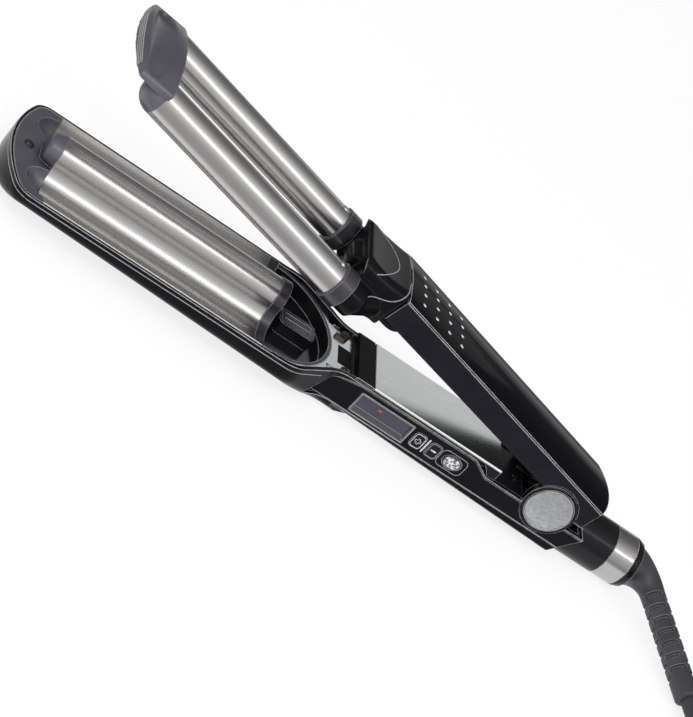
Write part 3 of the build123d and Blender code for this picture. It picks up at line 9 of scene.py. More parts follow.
import json
import logging
import math
from dataclasses import dataclass
from enum import Enum
from typing import Any, Iterable, Sequence, Union

import bmesh
import bpy
import numpy as np
from mathutils import Matrix, Vector
from mathutils.bvhtree import BVHTree


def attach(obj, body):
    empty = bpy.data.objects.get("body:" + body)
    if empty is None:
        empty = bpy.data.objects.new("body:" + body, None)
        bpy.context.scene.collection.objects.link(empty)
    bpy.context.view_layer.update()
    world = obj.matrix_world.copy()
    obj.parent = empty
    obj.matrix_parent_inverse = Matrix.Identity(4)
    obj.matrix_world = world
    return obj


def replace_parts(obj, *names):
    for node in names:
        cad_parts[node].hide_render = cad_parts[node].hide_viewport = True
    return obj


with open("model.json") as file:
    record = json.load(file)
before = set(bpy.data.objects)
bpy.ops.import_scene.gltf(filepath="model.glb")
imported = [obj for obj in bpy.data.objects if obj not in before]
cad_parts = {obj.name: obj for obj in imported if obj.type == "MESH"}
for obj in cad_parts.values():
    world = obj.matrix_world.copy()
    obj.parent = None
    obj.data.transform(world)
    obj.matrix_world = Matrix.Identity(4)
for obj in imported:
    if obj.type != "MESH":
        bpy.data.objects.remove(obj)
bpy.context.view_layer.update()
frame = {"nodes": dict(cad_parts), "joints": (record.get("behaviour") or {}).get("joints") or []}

log = logging.getLogger("waver")
MM = 0.001
Number = Union[float, "Signal"]
Colour = tuple[float, float, float]
Place = tuple[float, float, float]
SMOOTH_LIMIT = math.radians(35)
MERGE_DISTANCE = 0.001 * MM


class Arm(Enum):
    """The two arms of the tool, by the CAD body that carries each."""

    LOWER = "root"
    UPPER = "upper_arm"


# ------------------------------------------------------------------ shader maths
class Signal:
    """A shader socket that ordinary arithmetic works on; each operator adds its Math node."""

    def __init__(self, shader: "Shader", socket: bpy.types.NodeSocket) -> None:
        """Keeps the shader that the socket belongs to."""
        self.shader = shader
        self.socket = socket

    def math(self, operation: str, *values: Number) -> "Signal":
        """Result of one Math node on these values."""
        return self.shader.signal("ShaderNodeMath", {"operation": operation}, dict(enumerate(values)))

    def __add__(self, other: Number) -> "Signal":
        """Sum."""
        return self.math("ADD", self, other)

    def __radd__(self, other: Number) -> "Signal":
        """Sum, with the number first."""
        return self.math("ADD", other, self)

    def __sub__(self, other: Number) -> "Signal":
        """Difference."""
        return self.math("SUBTRACT", self, other)

    def __rsub__(self, other: Number) -> "Signal":
        """Difference, with the number first."""
        return self.math("SUBTRACT", other, self)

    def __mul__(self, other: Number) -> "Signal":
        """Product."""
        return self.math("MULTIPLY", self, other)

    def __rmul__(self, other: Number) -> "Signal":
        """Product, with the number first."""
        return self.math("MULTIPLY", other, self)

    def ramp(self, low: float, high: float, start: float = 0.0, stop: float = 1.0) -> "Signal":
        """Smooth step between two levels.

        Args:
            low: value that maps to start.
            high: value that maps to stop.
            start: result at and below low.
            stop: result at and above high.

        Returns:
            The mapped signal.
        """
        settings = {"interpolation_type": "SMOOTHSTEP"}
        inputs = {"Value": self, "From Min": low, "From Max": high, "To Min": start, "To Max": stop}
        return self.shader.signal("ShaderNodeMapRange", settings, inputs)


class Shader:
    """Node tree of one material or world."""

    round_samples = 6
    mask_samples = 8

    def __init__(self, owner: Union[bpy.types.Material, bpy.types.World]) -> None:
        """Empties the owner's tree.

        Args:
            owner: the material or world.
        """
        owner.use_nodes = True
        self.tree = owner.node_tree
        self.tree.nodes.clear()

    def node(self, kind: str, settings: dict[str, Any], inputs: dict[Any, Any]) -> bpy.types.Node:
        """Adds a node.

        Args:
            kind: the node's type.
            settings: attributes set before the inputs; `stops` fills a colour ramp.
            inputs: values or signals by socket name or number.

        Returns:
            The new node.
        """
        made = self.tree.nodes.new(kind)
        for name, value in settings.items():
            if name == "stops":
                elements = made.color_ramp.elements
                while len(elements) < len(value):
                    elements.new(1.0)
                for element, (position, colour) in zip(elements, value):
                    element.position = position
                    element.color = (*colour, 1.0)
            else:
                setattr(made, name, value)
        for name, value in inputs.items():
            if isinstance(value, Signal):
                self.tree.links.new(value.socket, made.inputs[name])
            elif made.inputs[name].type == "RGBA" and len(value) == 3:
                made.inputs[name].default_value = (*value, 1.0)
            else:
                made.inputs[name].default_value = value
        return made

    def signal(self, kind: str, settings: dict[str, Any], inputs: dict[Any, Any], output: Any = 0) -> Signal:
        """Adds a node and returns one of its outputs."""
        return Signal(self, self.node(kind, settings, inputs).outputs[output])

    def place(self, stretch: Sequence[float] = (1, 1, 1)) -> Signal:
        """Object coordinates, stretched."""
        here = self.signal("ShaderNodeTexCoord", {}, {}, "Object")
        return self.signal("ShaderNodeMapping", {}, {"Vector": here, "Scale": stretch})

    def noise(self, where: Signal, scale: float, detail: float = 2.0, rough: float = 0.5) -> Signal:
        """Fractal noise, about 0 to 1."""
        inputs = {"Vector": where, "Scale": scale, "Detail": detail, "Roughness": rough}
        return self.signal("ShaderNodeTexNoise", {}, inputs)

    def mix(self, share: Number, first: Any, second: Any) -> Signal:
        """Colour between two colours."""
        settings = {"data_type": "RGBA"}
        return self.signal("ShaderNodeMix", settings, {0: share, 6: first, 7: second}, 2)

    def bump(self, height: Signal, depth: float, strength: float = 1.0, edge: float = 0.0) -> Signal:
        """Normal over a height field, on edges rounded in the shading.

        Args:
            height: the height field.
            depth: height of its full step.
            strength: share of the relief that shows.
            edge: radius of the rounding; none at 0.

        Returns:
            The normal.
        """
        inputs = {"Height": height, "Distance": depth, "Strength": strength}
        if edge > 0:
            inputs["Normal"] = self.round(edge)
        return self.signal("ShaderNodeBump", {}, inputs)

    def round(self, radius: float) -> Signal:
        """Normal that rounds sharp edges to a radius."""
        return self.signal("ShaderNodeBevel", {"samples": self.round_samples}, {"Radius": radius})

    def edges(self, radius: float, low: float = 0.012, high: float = 0.10) -> Signal:
        """1 on the edges of a moulding and 0 on its faces; finishes use it to paint a highlight along edges.

        One minus the dot product of the surface normal and the normal that
        is averaged over a radius, through a smooth step.

        Args:
            radius: how far from an edge the painted highlight reaches.
            low: turn of the normal at which the painted highlight starts.
            low: turn of the normal at which wear starts.
            high: turn of the normal at which it is full.

        Returns:
            The mask.
        """
        true = self.signal("ShaderNodeNewGeometry", {}, {}, "Normal")
        soft = self.signal("ShaderNodeBevel", {"samples": self.mask_samples}, {"Radius": radius})
        dot = self.signal("ShaderNodeVectorMath", {"operation": "DOT_PRODUCT"}, {0: true, 1: soft}, "Value")
        return (1.0 - dot).ramp(low, high)

    def hollows(self, reach: float, low: float = 0.35, high: float = 0.9) -> Signal:
        """1 in the open and 0 deep in a hollow: the open share of the sky, through a smooth step; finishes
        use it to paint shade in hollows.

        Args:
            reach: how far away a wall still counts.
            low: open share that gives 0.
            high: open share that gives 1.

        Returns:
            The mask.
        """
        settings = {"samples": self.mask_samples}
        open_share = self.signal("ShaderNodeAmbientOcclusion", settings, {"Distance": reach}, "AO")
        return open_share.ramp(low, high)

    def principled(self, **sockets: Any) -> None:
        """Principled surface as the material's output.

        Args:
            **sockets: values or signals by socket name, with underscores for spaces.
        """
        inputs = {name.replace("_", " "): value for name, value in sockets.items()}
        surface = self.signal("ShaderNodeBsdfPrincipled", {}, inputs)
        self.node("ShaderNodeOutputMaterial", {}, {"Surface": surface})


# ------------------------------------------------------------------ finishes
def scaled(colour: Colour, *gains: float) -> Colour:
    """Colour times one gain, or times a gain for each channel, kept at or below 1."""
    return tuple(min(1.0, c * g) for c, g in zip(colour, gains * 3 if len(gains) == 1 else gains))


@dataclass(frozen=True)
class Finish:
    """A surface finish; each kind builds its own material once."""

    name: str
    colour: Colour

    def build(self, shader: Shader) -> None:
        """Fills the material's nodes."""
        raise NotImplementedError

    def material(self) -> bpy.types.Material:
        """Makes the finish's material at its first use.

        Returns:
            The material.
        """
        title = "finish_" + self.name
        found = bpy.data.materials.get(title)
        if found is None:
            found = bpy.data.materials.new(title)
            self.build(Shader(found))
        return found


@dataclass(frozen=True)
class GlossPlastic(Finish):
    """Polished moulding with a faint orange peel, handling haze and a painted highlight along its edges."""

    roughness: float = 0.07
    edge: float = 0.35 * MM
    specular: float = 0.14
    # pale colour along the edges: a painted highlight, its share, colour and reach
    glint_share: float = 0.9
    glint_colour: Colour = (0.42, 0.425, 0.44)
    glint_reach: float = 0.7 * MM
    haze_scale: float = 38.0
    haze_gain: float = 1.35
    haze_dulls: float = 1.4
    glint_break_scale: float = 160.0
    peel_scale: float = 420.0
    peel_depth: float = 0.012 * MM
    peel_share: float = 0.25

    def build(self, shader: Shader) -> None:
        """Roughness drifts with the haze; the peel is in the normal, and the edges get a painted highlight,
        broken up by noise.

        Args:
            shader: the material's node tree.
        """
        here = shader.place()
        haze = shader.noise(here, self.haze_scale, 4.0, 0.6)
        peel = shader.noise(here, self.peel_scale, 1.0)
        bare = shader.mix(haze.ramp(0.35, 0.75), self.colour, scaled(self.colour, self.haze_gain))
        # noise that breaks up the painted highlight along the edges
        glint_break = shader.noise(here, self.glint_break_scale, 3.0).ramp(0.25, 0.6, 0.55, 1.0)
        shader.principled(
            Base_Color=shader.mix(shader.edges(self.glint_reach) * glint_break * self.glint_share, bare, self.glint_colour),
            Roughness=haze.ramp(0.3, 0.8, self.roughness, self.roughness * self.haze_dulls),
            Specular_IOR_Level=self.specular,
            Normal=shader.bump(peel, self.peel_depth, self.peel_share, self.edge),
        )


@dataclass(frozen=True)
class SatinPlastic(Finish):
    """Moulding with a fine spark-eroded grain."""

    roughness: float = 0.42
    grain: float = 2600.0
    depth: float = 0.03 * MM
    edge: float = 0.35 * MM
    specular: float = 0.4
    # painted highlight along the edges: its share, colour and reach
    glint_share: float = 0.35
    glint_colour: Colour = (0.36, 0.36, 0.39)
    glint_reach: float = 0.5 * MM
    # painted shade: share by which hollows are darkened, and how far away a wall still darkens
    painted_shade: float = 0.0
    shade_reach: float = 6.0 * MM
    cloud_scale: float = 55.0
    cloud_gain: float = 1.25
    cloud_smooths: float = 0.06
    cloud_dulls: float = 0.08
    grain_share: float = 0.5

    def build(self, shader: Shader) -> None:
        """Grain in the normal, mottled colour and roughness, a painted highlight on the edges and painted
        shade darkening the hollows.

        Args:
            shader: the material's node tree.
        """
        here = shader.place()
        grain = shader.noise(here, self.grain, 2.0, 0.6)
        cloud = shader.noise(here, self.cloud_scale, 3.0)
        bare = shader.mix(cloud.ramp(0.3, 0.75), self.colour, scaled(self.colour, self.cloud_gain))
        # painted shade: the colour goes darker where walls are near
        if self.painted_shade > 0:
            unshaded = shader.hollows(self.shade_reach) * self.painted_shade + (1 - self.painted_shade)
            bare = shader.mix(unshaded, (0.0, 0.0, 0.0), bare)
        # the base colour carries the painted highlight along the edges
        shader.principled(
            Base_Color=shader.mix(shader.edges(self.glint_reach) * self.glint_share, bare, self.glint_colour),
            Roughness=cloud.ramp(
                0.3, 0.7, self.roughness - self.cloud_smooths, self.roughness + self.cloud_dulls
            ),
            Specular_IOR_Level=self.specular,
            Normal=shader.bump(grain, self.depth, self.grain_share, self.edge),
        )


@dataclass(frozen=True)
class BrushedMetal(Finish):
    """Metal with brushing along one axis of the tool."""

    roughness: float = 0.26
    stretch: tuple[float, float, float] = (1, 60, 60)
    scale: float = 60.0
    drift_scale: float = 5.0
    depth: float = 0.004 * MM
    brush_share: float = 0.6
    edge: float = 0.25 * MM
    tint: Colour = (1.05, 0.99, 0.93)
    streaks: float = 0.12
    # painted highlight along the edges: its share, colour and reach
    glint_share: float = 0.0
    glint_colour: Colour = (0.93, 0.93, 0.94)
    glint_reach: float = 0.4 * MM
    sway: float = 0.06

    def build(self, shader: Shader) -> None:
        """Stretched noise gives the brush lines; a slower one warms and cools the metal.

        Args:
            shader: the material's node tree.
        """
        here = shader.place(self.stretch)
        lines = shader.noise(here, self.scale, 4.0, 0.65)
        drift = shader.noise(here, self.drift_scale, 2.0)
        brushed = shader.mix(drift.ramp(0.35, 0.65), self.colour, scaled(self.colour, *self.tint))
        fine = shader.mix(lines.ramp(0.35, 0.7, 0.0, 0.8), brushed, scaled(self.colour, 1 - self.streaks))
        # painted highlight along the edges
        if self.glint_share > 0:
            fine = shader.mix(shader.edges(self.glint_reach) * self.glint_share, fine, self.glint_colour)
        relief = {}
        if self.depth > 0:
            relief["Normal"] = shader.bump(lines, self.depth, self.brush_share, self.edge)
        shader.principled(
            Base_Color=fine,
            Metallic=1.0,
            Roughness=lines.ramp(0.25, 0.75, self.roughness - self.sway, self.roughness + self.sway),
            **relief,
        )


@dataclass(frozen=True)
class Rubber(Finish):
    """Matt elastomer with a fine pebble."""

    roughness: float = 0.5
    # painted highlight along the edges: its share, colour and reach
    glint_share: float = 0.0
    glint_colour: Colour = (0.24, 0.24, 0.26)
    glint_reach: float = 0.5 * MM
    dull_scale: float = 70.0
    dull_gain: float = 1.4
    pebble_scale: float = 1900.0
    pebble_depth: float = 0.03 * MM
    pebble_share: float = 0.5
    wear_smooths: float = 0.08
    wear_dulls: float = 0.1
    edge: float = 0.3 * MM
    specular: float = 0.4

    def build(self, shader: Shader) -> None:
        """Pebbled normal; lighter where handling has dulled it, with a painted highlight along the edges.

        Args:
            shader: the material's node tree.
        """
        here = shader.place()
        pebble = shader.noise(here, self.pebble_scale, 2.0)
        dull = shader.noise(here, self.dull_scale, 3.0)
        skin = shader.mix(dull.ramp(0.4, 0.75), self.colour, scaled(self.colour, self.dull_gain))
        # painted highlight along the edges
        if self.glint_share > 0:
            skin = shader.mix(shader.edges(self.glint_reach) * self.glint_share, skin, self.glint_colour)
        shader.principled(
            Base_Color=skin,
            Roughness=dull.ramp(
                0.3, 0.7, self.roughness - self.wear_smooths, self.roughness + self.wear_dulls
            ),
            Specular_IOR_Level=self.specular,
            Normal=shader.bump(pebble, self.pebble_depth, self.pebble_share, self.edge),
        )


@dataclass(frozen=True)
class Lens(Finish):
    """Smoked window over the display."""

    roughness: float = 0.14
    specular: float = 0.3
    coat: float = 0.15
    coat_roughness: float = 0.05
    cloud_scale: float = 90.0
    cloud_gain: float = 1.5

    def build(self, shader: Shader) -> None:
        """Dark gloss with a slow cloud of slate.

        Args:
            shader: the material's node tree.
        """
        cloud = shader.noise(shader.place(), self.cloud_scale, 2.0)
        shader.principled(
            Base_Color=shader.mix(cloud.ramp(0.3, 0.7), self.colour, scaled(self.colour, self.cloud_gain)),
            Roughness=self.roughness,
            Specular_IOR_Level=self.specular,
            Coat_Weight=self.coat,
            Coat_Roughness=self.coat_roughness,
        )


@dataclass(frozen=True)
class Ink(Finish):
    """Printed or lit marking, or a pale dot painted as a highlight."""

    glow: float = 0.0
    spots: float = 0.2
    spot_scale: float = 900.0
    roughness: float = 0.4

    def build(self, shader: Shader) -> None:
        """Flat ink with a little unevenness; lit marks also glow.

        Args:
            shader: the material's node tree.
        """
        spread = shader.noise(shader.place(), self.spot_scale, 2.0)
        shader.principled(
            Base_Color=shader.mix(spread.ramp(0.4, 0.6), self.colour, scaled(self.colour, 1 - self.spots)),
            Roughness=self.roughness,
            Emission_Color=(*self.colour, 1.0),
            Emission_Strength=self.glow,
        )


# In the finishes below, the edge share paints a highlight along edges, and the hollow share paints shade in
# hollows.
SHELL_BLACK = GlossPlastic("shell_black", (0.003, 0.003, 0.0037), specular=0.09)
TAIL_BLACK = GlossPlastic("tail_black", (0.006, 0.006, 0.007), roughness=0.15, specular=0.22)
# pale grey of the lines that paint highlights along the casing's edges and the neck's creases
LINE_GLINT = SatinPlastic("edge_polish", (0.20, 0.20, 0.215), roughness=0.3, glint_share=0.0)
NECK_BLACK = GlossPlastic("neck_black", (0.003, 0.003, 0.0035), roughness=0.13, specular=0.12, glint_share=0.5)
COVER_BLACK = GlossPlastic("cover_black", (0.0025, 0.0025, 0.003), roughness=0.10, specular=0.03)
PANEL_BLACK = GlossPlastic("panel_black", (0.004, 0.004, 0.005), roughness=0.12, specular=0.07)
CHASSIS_GREY = SatinPlastic(
    "chassis_blue_grey", (0.0075, 0.0075, 0.011), roughness=0.30, specular=0.09,
    glint_share=0.7, glint_colour=(0.4, 0.41, 0.43),
)
# painted shade darkens the hollows of these mouldings
DARK_PLASTIC = SatinPlastic(
    "dark_plastic", (0.056, 0.053, 0.067), roughness=0.28, specular=0.85, glint_share=0.55, painted_shade=0.8
)
# painted shade darkens the hollows of the collars
COLLAR_PLASTIC = SatinPlastic(
    "collar_plastic", (0.020, 0.019, 0.024), roughness=0.24, specular=0.7, glint_share=0.6, painted_shade=0.85
)
# pale grey of the finger rest's ribs: a painted highlight on the ridges
RIB_GLINT = SatinPlastic("rib_plastic", (0.25, 0.25, 0.26), roughness=0.35, glint_share=0.0)
LINER_PLASTIC = GlossPlastic("liner_plastic", (0.005, 0.005, 0.006), roughness=0.11, specular=0.5, glint_share=0.8)
BEZEL_GREY = SatinPlastic(
    "bezel_grey", (0.034, 0.034, 0.038), roughness=0.5, grain=900.0, depth=0.12 * MM, glint_share=0.45
)
TITANIUM = BrushedMetal(
    "titanium", (0.63, 0.623, 0.62), roughness=0.24, depth=0.0, tint=(1.02, 0.985, 0.95),
    streaks=0.05, sway=0.02,
)
DECK_METAL = BrushedMetal(
    "deck_metal", (0.86, 0.88, 0.865), roughness=0.21, depth=0.0, tint=(0.97, 1.0, 0.985),
    glint_share=0.1, streaks=0.08, sway=0.02,
)
DISC_METAL = BrushedMetal(
    "disc_metal", (0.60, 0.605, 0.615), roughness=0.4, stretch=(7, 1, 34), tint=(0.84, 0.86, 0.88),
    streaks=0.5,
)
STEEL = BrushedMetal("steel", (0.56, 0.56, 0.57), roughness=0.28)
CHROME = BrushedMetal("chrome_ring", (0.50, 0.50, 0.51), roughness=0.16, depth=0.0)
RIM_METAL = BrushedMetal("rim_metal", (0.80, 0.80, 0.81), roughness=0.24, depth=0.0)
DARK_STEEL = BrushedMetal("screw_steel", (0.16, 0.14, 0.125), roughness=0.38)
CAP_PLASTIC = GlossPlastic("cap_plastic", (0.004, 0.004, 0.005), roughness=0.16, specular=0.2)
PAD_RUBBER = Rubber("pad_rubber", (0.004, 0.004, 0.004), roughness=0.7)
BOOT_RUBBER = Rubber("boot_rubber", (0.030, 0.030, 0.036), roughness=0.4, glint_share=0.9)
CORD_RUBBER = Rubber("cord_rubber", (0.024, 0.024, 0.027))
STRAP = Rubber("tie_strap", (0.02, 0.02, 0.022), roughness=0.8)
PLUG_PLASTIC = SatinPlastic("plug_plastic", (0.018, 0.018, 0.02), roughness=0.4)
KEY_PLASTIC = GlossPlastic("key_plastic", (0.006, 0.006, 0.008), roughness=0.2, glint_colour=(0.55, 0.56, 0.58))
SMOKED = Lens("smoked_lens", (0.030, 0.027, 0.042))
BOARD = SatinPlastic("board_laminate", (0.02, 0.12, 0.06))
LINE_INK = Ink("line_ink", (0.27, 0.275, 0.29))
KEY_INK = Ink("key_ink", (0.52, 0.53, 0.55))
FAINT_INK = Ink("faint_ink", (0.20, 0.20, 0.215))
RED_INK = Ink("red_ink", (0.45, 0.03, 0.07), glow=0.2)
# pale dots in the cover's dimples: a painted highlight where the dimples catch the light
DIMPLE_GLINT = Ink("dot_ink", (0.66, 0.67, 0.70))
POWER_INK = Ink("power_ink", (0.60, 0.60, 0.62), spots=0.85)

NODE_FINISH: dict[Finish, str] = {
    SHELL_BLACK: "lower_shell upper_neck hinge_bezel_left hinge_bezel_right",
    TAIL_BLACK: "tail_barrel",
    COVER_BLACK: "upper_cover cross_bar",
    PANEL_BLACK: "side_panel_left side_panel_right",
    BEZEL_GREY: "display_bezel",
    CHASSIS_GREY: "upper_chassis deck_frame",
    DARK_PLASTIC: "tray_end_cap barrel_tip_left barrel_tip_right finger_rest",
    COLLAR_PLASTIC: "tray_rear_ring barrel_collar_left barrel_collar_right",
    LINER_PLASTIC: "neck_liner neck_block tray_carrier tray_heater display_module tact_switches",
    TITANIUM: "wave_tray barrel_left barrel_right",
    DECK_METAL: "deck_plate latch_plate",
    DISC_METAL: "hinge_cap_left hinge_cap_right",
    STEEL: "hinge_pin return_spring barrel_heaters",
    CHROME: "tail_ring",
    DARK_STEEL: "latch_screws cap_screw lead_clamp",
    CAP_PLASTIC: "tail_cap swivel_collar",
    PAD_RUBBER: "heel_pad",
    BOOT_RUBBER: "cord_boot",
    CORD_RUBBER: "cord_lead cord_coil cord_tail",
    STRAP: "cord_tie",
    PLUG_PLASTIC: "mains_plug",
    KEY_PLASTIC: "button_plus button_minus button_power",
    SMOKED: "display_lens",
    BOARD: "control_board",
}


# ------------------------------------------------------------------ the tool's stance
@dataclass(frozen=True)
class Stance:
    """Carries points from an arm's own frame to the standing tool."""

    open_angle: float = math.radians(13.2)

    @property
    def hinge(self) -> Vector:
        """A point on the hinge axis."""
        return Vector(next(joint for joint in frame["joints"] if joint["name"] == "arm_hinge")["pos_m"])

    @property
    def tilt(self) -> float:
        """Slope of the rims, from the swivel's axis, which lies along them."""
        axis = next(joint for joint in frame["joints"] if joint["name"] == "cord_swivel")["axis"]
        return math.atan2(axis[2], axis[0])

    def matrix(self, arm: Arm) -> Matrix:
        """Matrix from the arm's frame to the standing tool."""
        turn = -self.tilt + (self.open_angle if arm is Arm.UPPER else 0.0)
        return Matrix.Translation(self.hinge) @ Matrix.Rotation(turn, 4, "Y")

    def carry(self, points: np.ndarray, arm: Arm) -> np.ndarray:
        """Points of any grid, last axis x, y, z, carried to the standing tool."""
        matrix = np.array(self.matrix(arm))
        return points @ matrix[:3, :3].T + matrix[:3, 3]

    def fetch(self, points: np.ndarray, arm: Arm) -> np.ndarray:
        """Points of the standing tool carried back to an arm's own frame."""
        matrix = np.array(self.matrix(arm))
        return (points - matrix[:3, 3]) @ matrix[:3, :3]


STANCE = Stance()


# ------------------------------------------------------------------ pieces
def dress(names: Iterable[str], finish: Finish) -> None:
    """Gives CAD nodes a finish.

    Args:
        names: the nodes' names.
        finish: the finish that replaces their own.
    """
    for name in names:
        mesh = frame["nodes"][name].data
        mesh.materials.clear()
        mesh.materials.append(finish.material())


def add_piece(name: str, data: bpy.types.ID, body: str, finish: Finish) -> bpy.types.Object:
    """Links a finished piece and lets it ride on its body.

    Args:
        name: the piece's name.
        data: mesh or curve, already in place.
        body: the CAD body that carries it.
        finish: its finish.

    Returns:
        The new object.
    """
    piece = bpy.data.objects.new(name, data)
    bpy.context.scene.collection.objects.link(piece)
    data.materials.append(finish.material())
    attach(piece, body)
    log.info("made %s on %s", name, body)
    return piece


def grid_mesh(
    name: str, grid: np.ndarray, round_rows: bool = False, round_columns: bool = False, caps: bool = False
) -> bpy.types.Mesh:
    """Mesh over a grid of points, its normals turned outwards.

    Args:
        name: the mesh's name.
        grid: points, shape rows, columns, 3.
        round_rows: joins the last row to the first.
        round_columns: joins the last column to the first.
        caps: closes the first and the last row with a face each.

    Returns:
        The mesh, smooth but for sharp edges.
    """
    rows, columns = grid.shape[:2]
    index = np.arange(rows * columns).reshape(rows, columns)
    index = np.vstack([index, index[:1]]) if round_rows else index
    index = np.hstack([index, index[:, :1]]) if round_columns else index
    quads = np.stack([index[:-1, :-1], index[1:, :-1], index[1:, 1:], index[:-1, 1:]], -1).reshape(-1, 4)
    faces = quads.tolist()
    if caps:
        faces += [list(range(columns)), list(range((rows - 1) * columns, rows * columns))]
    mesh = bpy.data.meshes.new(name)
    mesh.from_pydata(grid.reshape(-1, 3).tolist(), [], faces)
    tidy_mesh(mesh)
    return mesh


def tidy_mesh(mesh: bpy.types.Mesh) -> None:
    """Merges doubles, turns all faces outwards and shades smooth but for sharp edges.

    Args:
        mesh: the mesh, changed in place.
    """
    work = bmesh.new()
    work.from_mesh(mesh)
    bmesh.ops.remove_doubles(work, verts=work.verts, dist=MERGE_DISTANCE)
    bmesh.ops.recalc_face_normals(work, faces=work.faces)
    work.to_mesh(mesh)
    work.free()
    mesh.shade_smooth()
    mesh.set_sharp_from_angle(angle=SMOOTH_LIMIT)


def softened(node: str, voxel: float, rounds: int) -> bpy.types.Mesh:
    """Shape of a node with its edges rounded.

    Args:
        node: the CAD node to copy.
        voxel: cell of the grid on which the copy is remeshed.
        rounds: relaxing rounds; each moves a point halfway to its neighbours' mean.

    Returns:
        The new mesh.
    """
    copy = frame["nodes"][node].data.copy()
    tidy_mesh(copy)
    holder = bpy.data.objects.new(node + "_copy", copy)
    bpy.context.scene.collection.objects.link(holder)
    cells = holder.modifiers.new("cells", "REMESH")
    cells.mode = "VOXEL"
    cells.voxel_size = voxel
    relax = holder.modifiers.new("relax", "SMOOTH")
    relax.factor = 0.5
    relax.iterations = rounds
    graph = bpy.context.evaluated_depsgraph_get()
    mesh = bpy.data.meshes.new_from_object(holder.evaluated_get(graph), depsgraph=graph)
    bpy.data.objects.remove(holder)
    mesh.materials.clear()
    mesh.shade_smooth()
    return mesh


def per_vertex(mesh: bpy.types.Mesh, attribute: str) -> np.ndarray:
    """One vector for each vertex of a mesh.

    Args:
        mesh: the mesh.
        attribute: `co` for the places or `normal` for the normals.

    Returns:
        The vectors, one row each.
    """
    flat = np.empty(len(mesh.vertices) * 3)
    mesh.vertices.foreach_get(attribute, flat)
    return flat.reshape(-1, 3)


def rounded_over(
    mesh: bpy.types.Mesh, arm: Arm, half: Sequence[float], top: Sequence[float], radius: Sequence[float],
    stations: Sequence[float],
) -> None:
    """Rounds the two long upper corners of a moulding.

    At each station along the arm the corner's circle touches the side, at
    half, and the top. A point outside the circle comes in to it along the
    line to its centre.

    Args:
        mesh: the moulding, changed in place.
        arm: the arm that carries it.
        half: half width at each station, in mm.
        top: height at each station, in mm.
        radius: corner radius at each station, in mm.
        stations: places along the arm, rising, in mm.
    """
    points = STANCE.fetch(per_vertex(mesh, "co"), arm) / MM
    x, y, z = points.T
    r = np.interp(x, stations, radius)
    middle_y = np.interp(x, stations, half) - r
    middle_z = np.interp(x, stations, top) - r
    out_y, out_z = np.abs(y) - middle_y, z - middle_z
    reach = np.hypot(out_y, out_z)
    outside = (out_y > 0) & (out_z > 0) & (reach > r)
    share = np.where(outside, r / np.maximum(reach, 1e-9), 1.0)
    points[:, 1] = np.where(outside, np.sign(y) * (middle_y + out_y * share), y)
    points[:, 2] = np.where(outside, middle_z + out_z * share, z)
    mesh.vertices.foreach_set("co", STANCE.carry(points * MM, arm).ravel())
    mesh.update()


def traced(
    mesh: bpy.types.Mesh, start: np.ndarray, heading: np.ndarray, arm: Arm
) -> tuple[np.ndarray, np.ndarray]:
    """Places where straight lines first meet a surface.

    Args:
        mesh: the surface, of a node or a finished piece.
        start: where each line starts, in the arm's frame, in mm.
        heading: the way that each line goes, in the arm's frame.
        arm: the arm in whose frame they are given.

    Returns:
        The places and the surface's normals there, of the standing tool, in metres.
    """
    work = bmesh.new()
    work.from_mesh(mesh)
    tree = BVHTree.FromBMesh(work)
    work.free()
    origin = STANCE.carry(start * MM, arm)
    ahead = STANCE.carry((start + heading) * MM, arm) - origin
    hits = [tree.ray_cast(Vector(a), Vector(b)) for a, b in zip(origin, ahead)]
    found = [(tuple(place), tuple(normal)) for place, normal, _, _ in hits if place is not None]
    places, normals = (np.array(part) for part in zip(*found))
    return places, normals


def round_box(width: float, height: float, radius: float, steps: int = 6) -> np.ndarray:
    """Outline of a box with round corners.

    Each corner is its centre plus radius times cosine and sine over a quarter
    turn, so the four quarters follow each other anticlockwise.

    Args:
        width: width of the box.
        height: height of the box.
        radius: radius of its corners.
        steps: points on each corner.

    Returns:
        The points, two coordinates each.
    """
    angle = np.linspace(0, math.pi / 2, steps)[None, :] + np.arange(4)[:, None] * math.pi / 2
    signs = np.array([(1, 1), (-1, 1), (-1, -1), (1, -1)])[:, None, :]
    centre = signs * (np.array([width, height]) / 2 - radius)
    return (centre + radius * np.stack([np.cos(angle), np.sin(angle)], -1)).reshape(-1, 2)


def bead(
    path: np.ndarray, normal: np.ndarray, width: float, height: float, closed: bool, steps: int = 7
) -> np.ndarray:
    """Grid of a low round-topped bead along a path on a surface.

    The section is half an ellipse over the surface, width wide and height
    tall, with its foot half its height inside.

    Args:
        path: points along the bead.
        normal: surface normal, one for all or one each.
        width: width of the bead.
        height: height over the surface.
        closed: whether the path's end meets its start.
        steps: points on the section.

    Returns:
        The grid, one row for each point of the path.
    """
    ahead = np.roll(path, -1, 0) - np.roll(path, 1, 0)
    if not closed:
        ahead = np.gradient(path, axis=0)
    normal = np.broadcast_to(normal, path.shape)
    side = np.cross(ahead, normal)
    side /= np.linalg.norm(side, axis=1, keepdims=True)
    angle = np.linspace(0, math.pi, steps)
    across = np.concatenate([np.cos(angle), [-1.0, 1.0]]) * width / 2
    up = np.concatenate([np.sin(angle), [-0.5, -0.5]]) * height
    return path[:, None] + side[:, None] * across[None, :, None] + normal[:, None] * up[None, :, None]


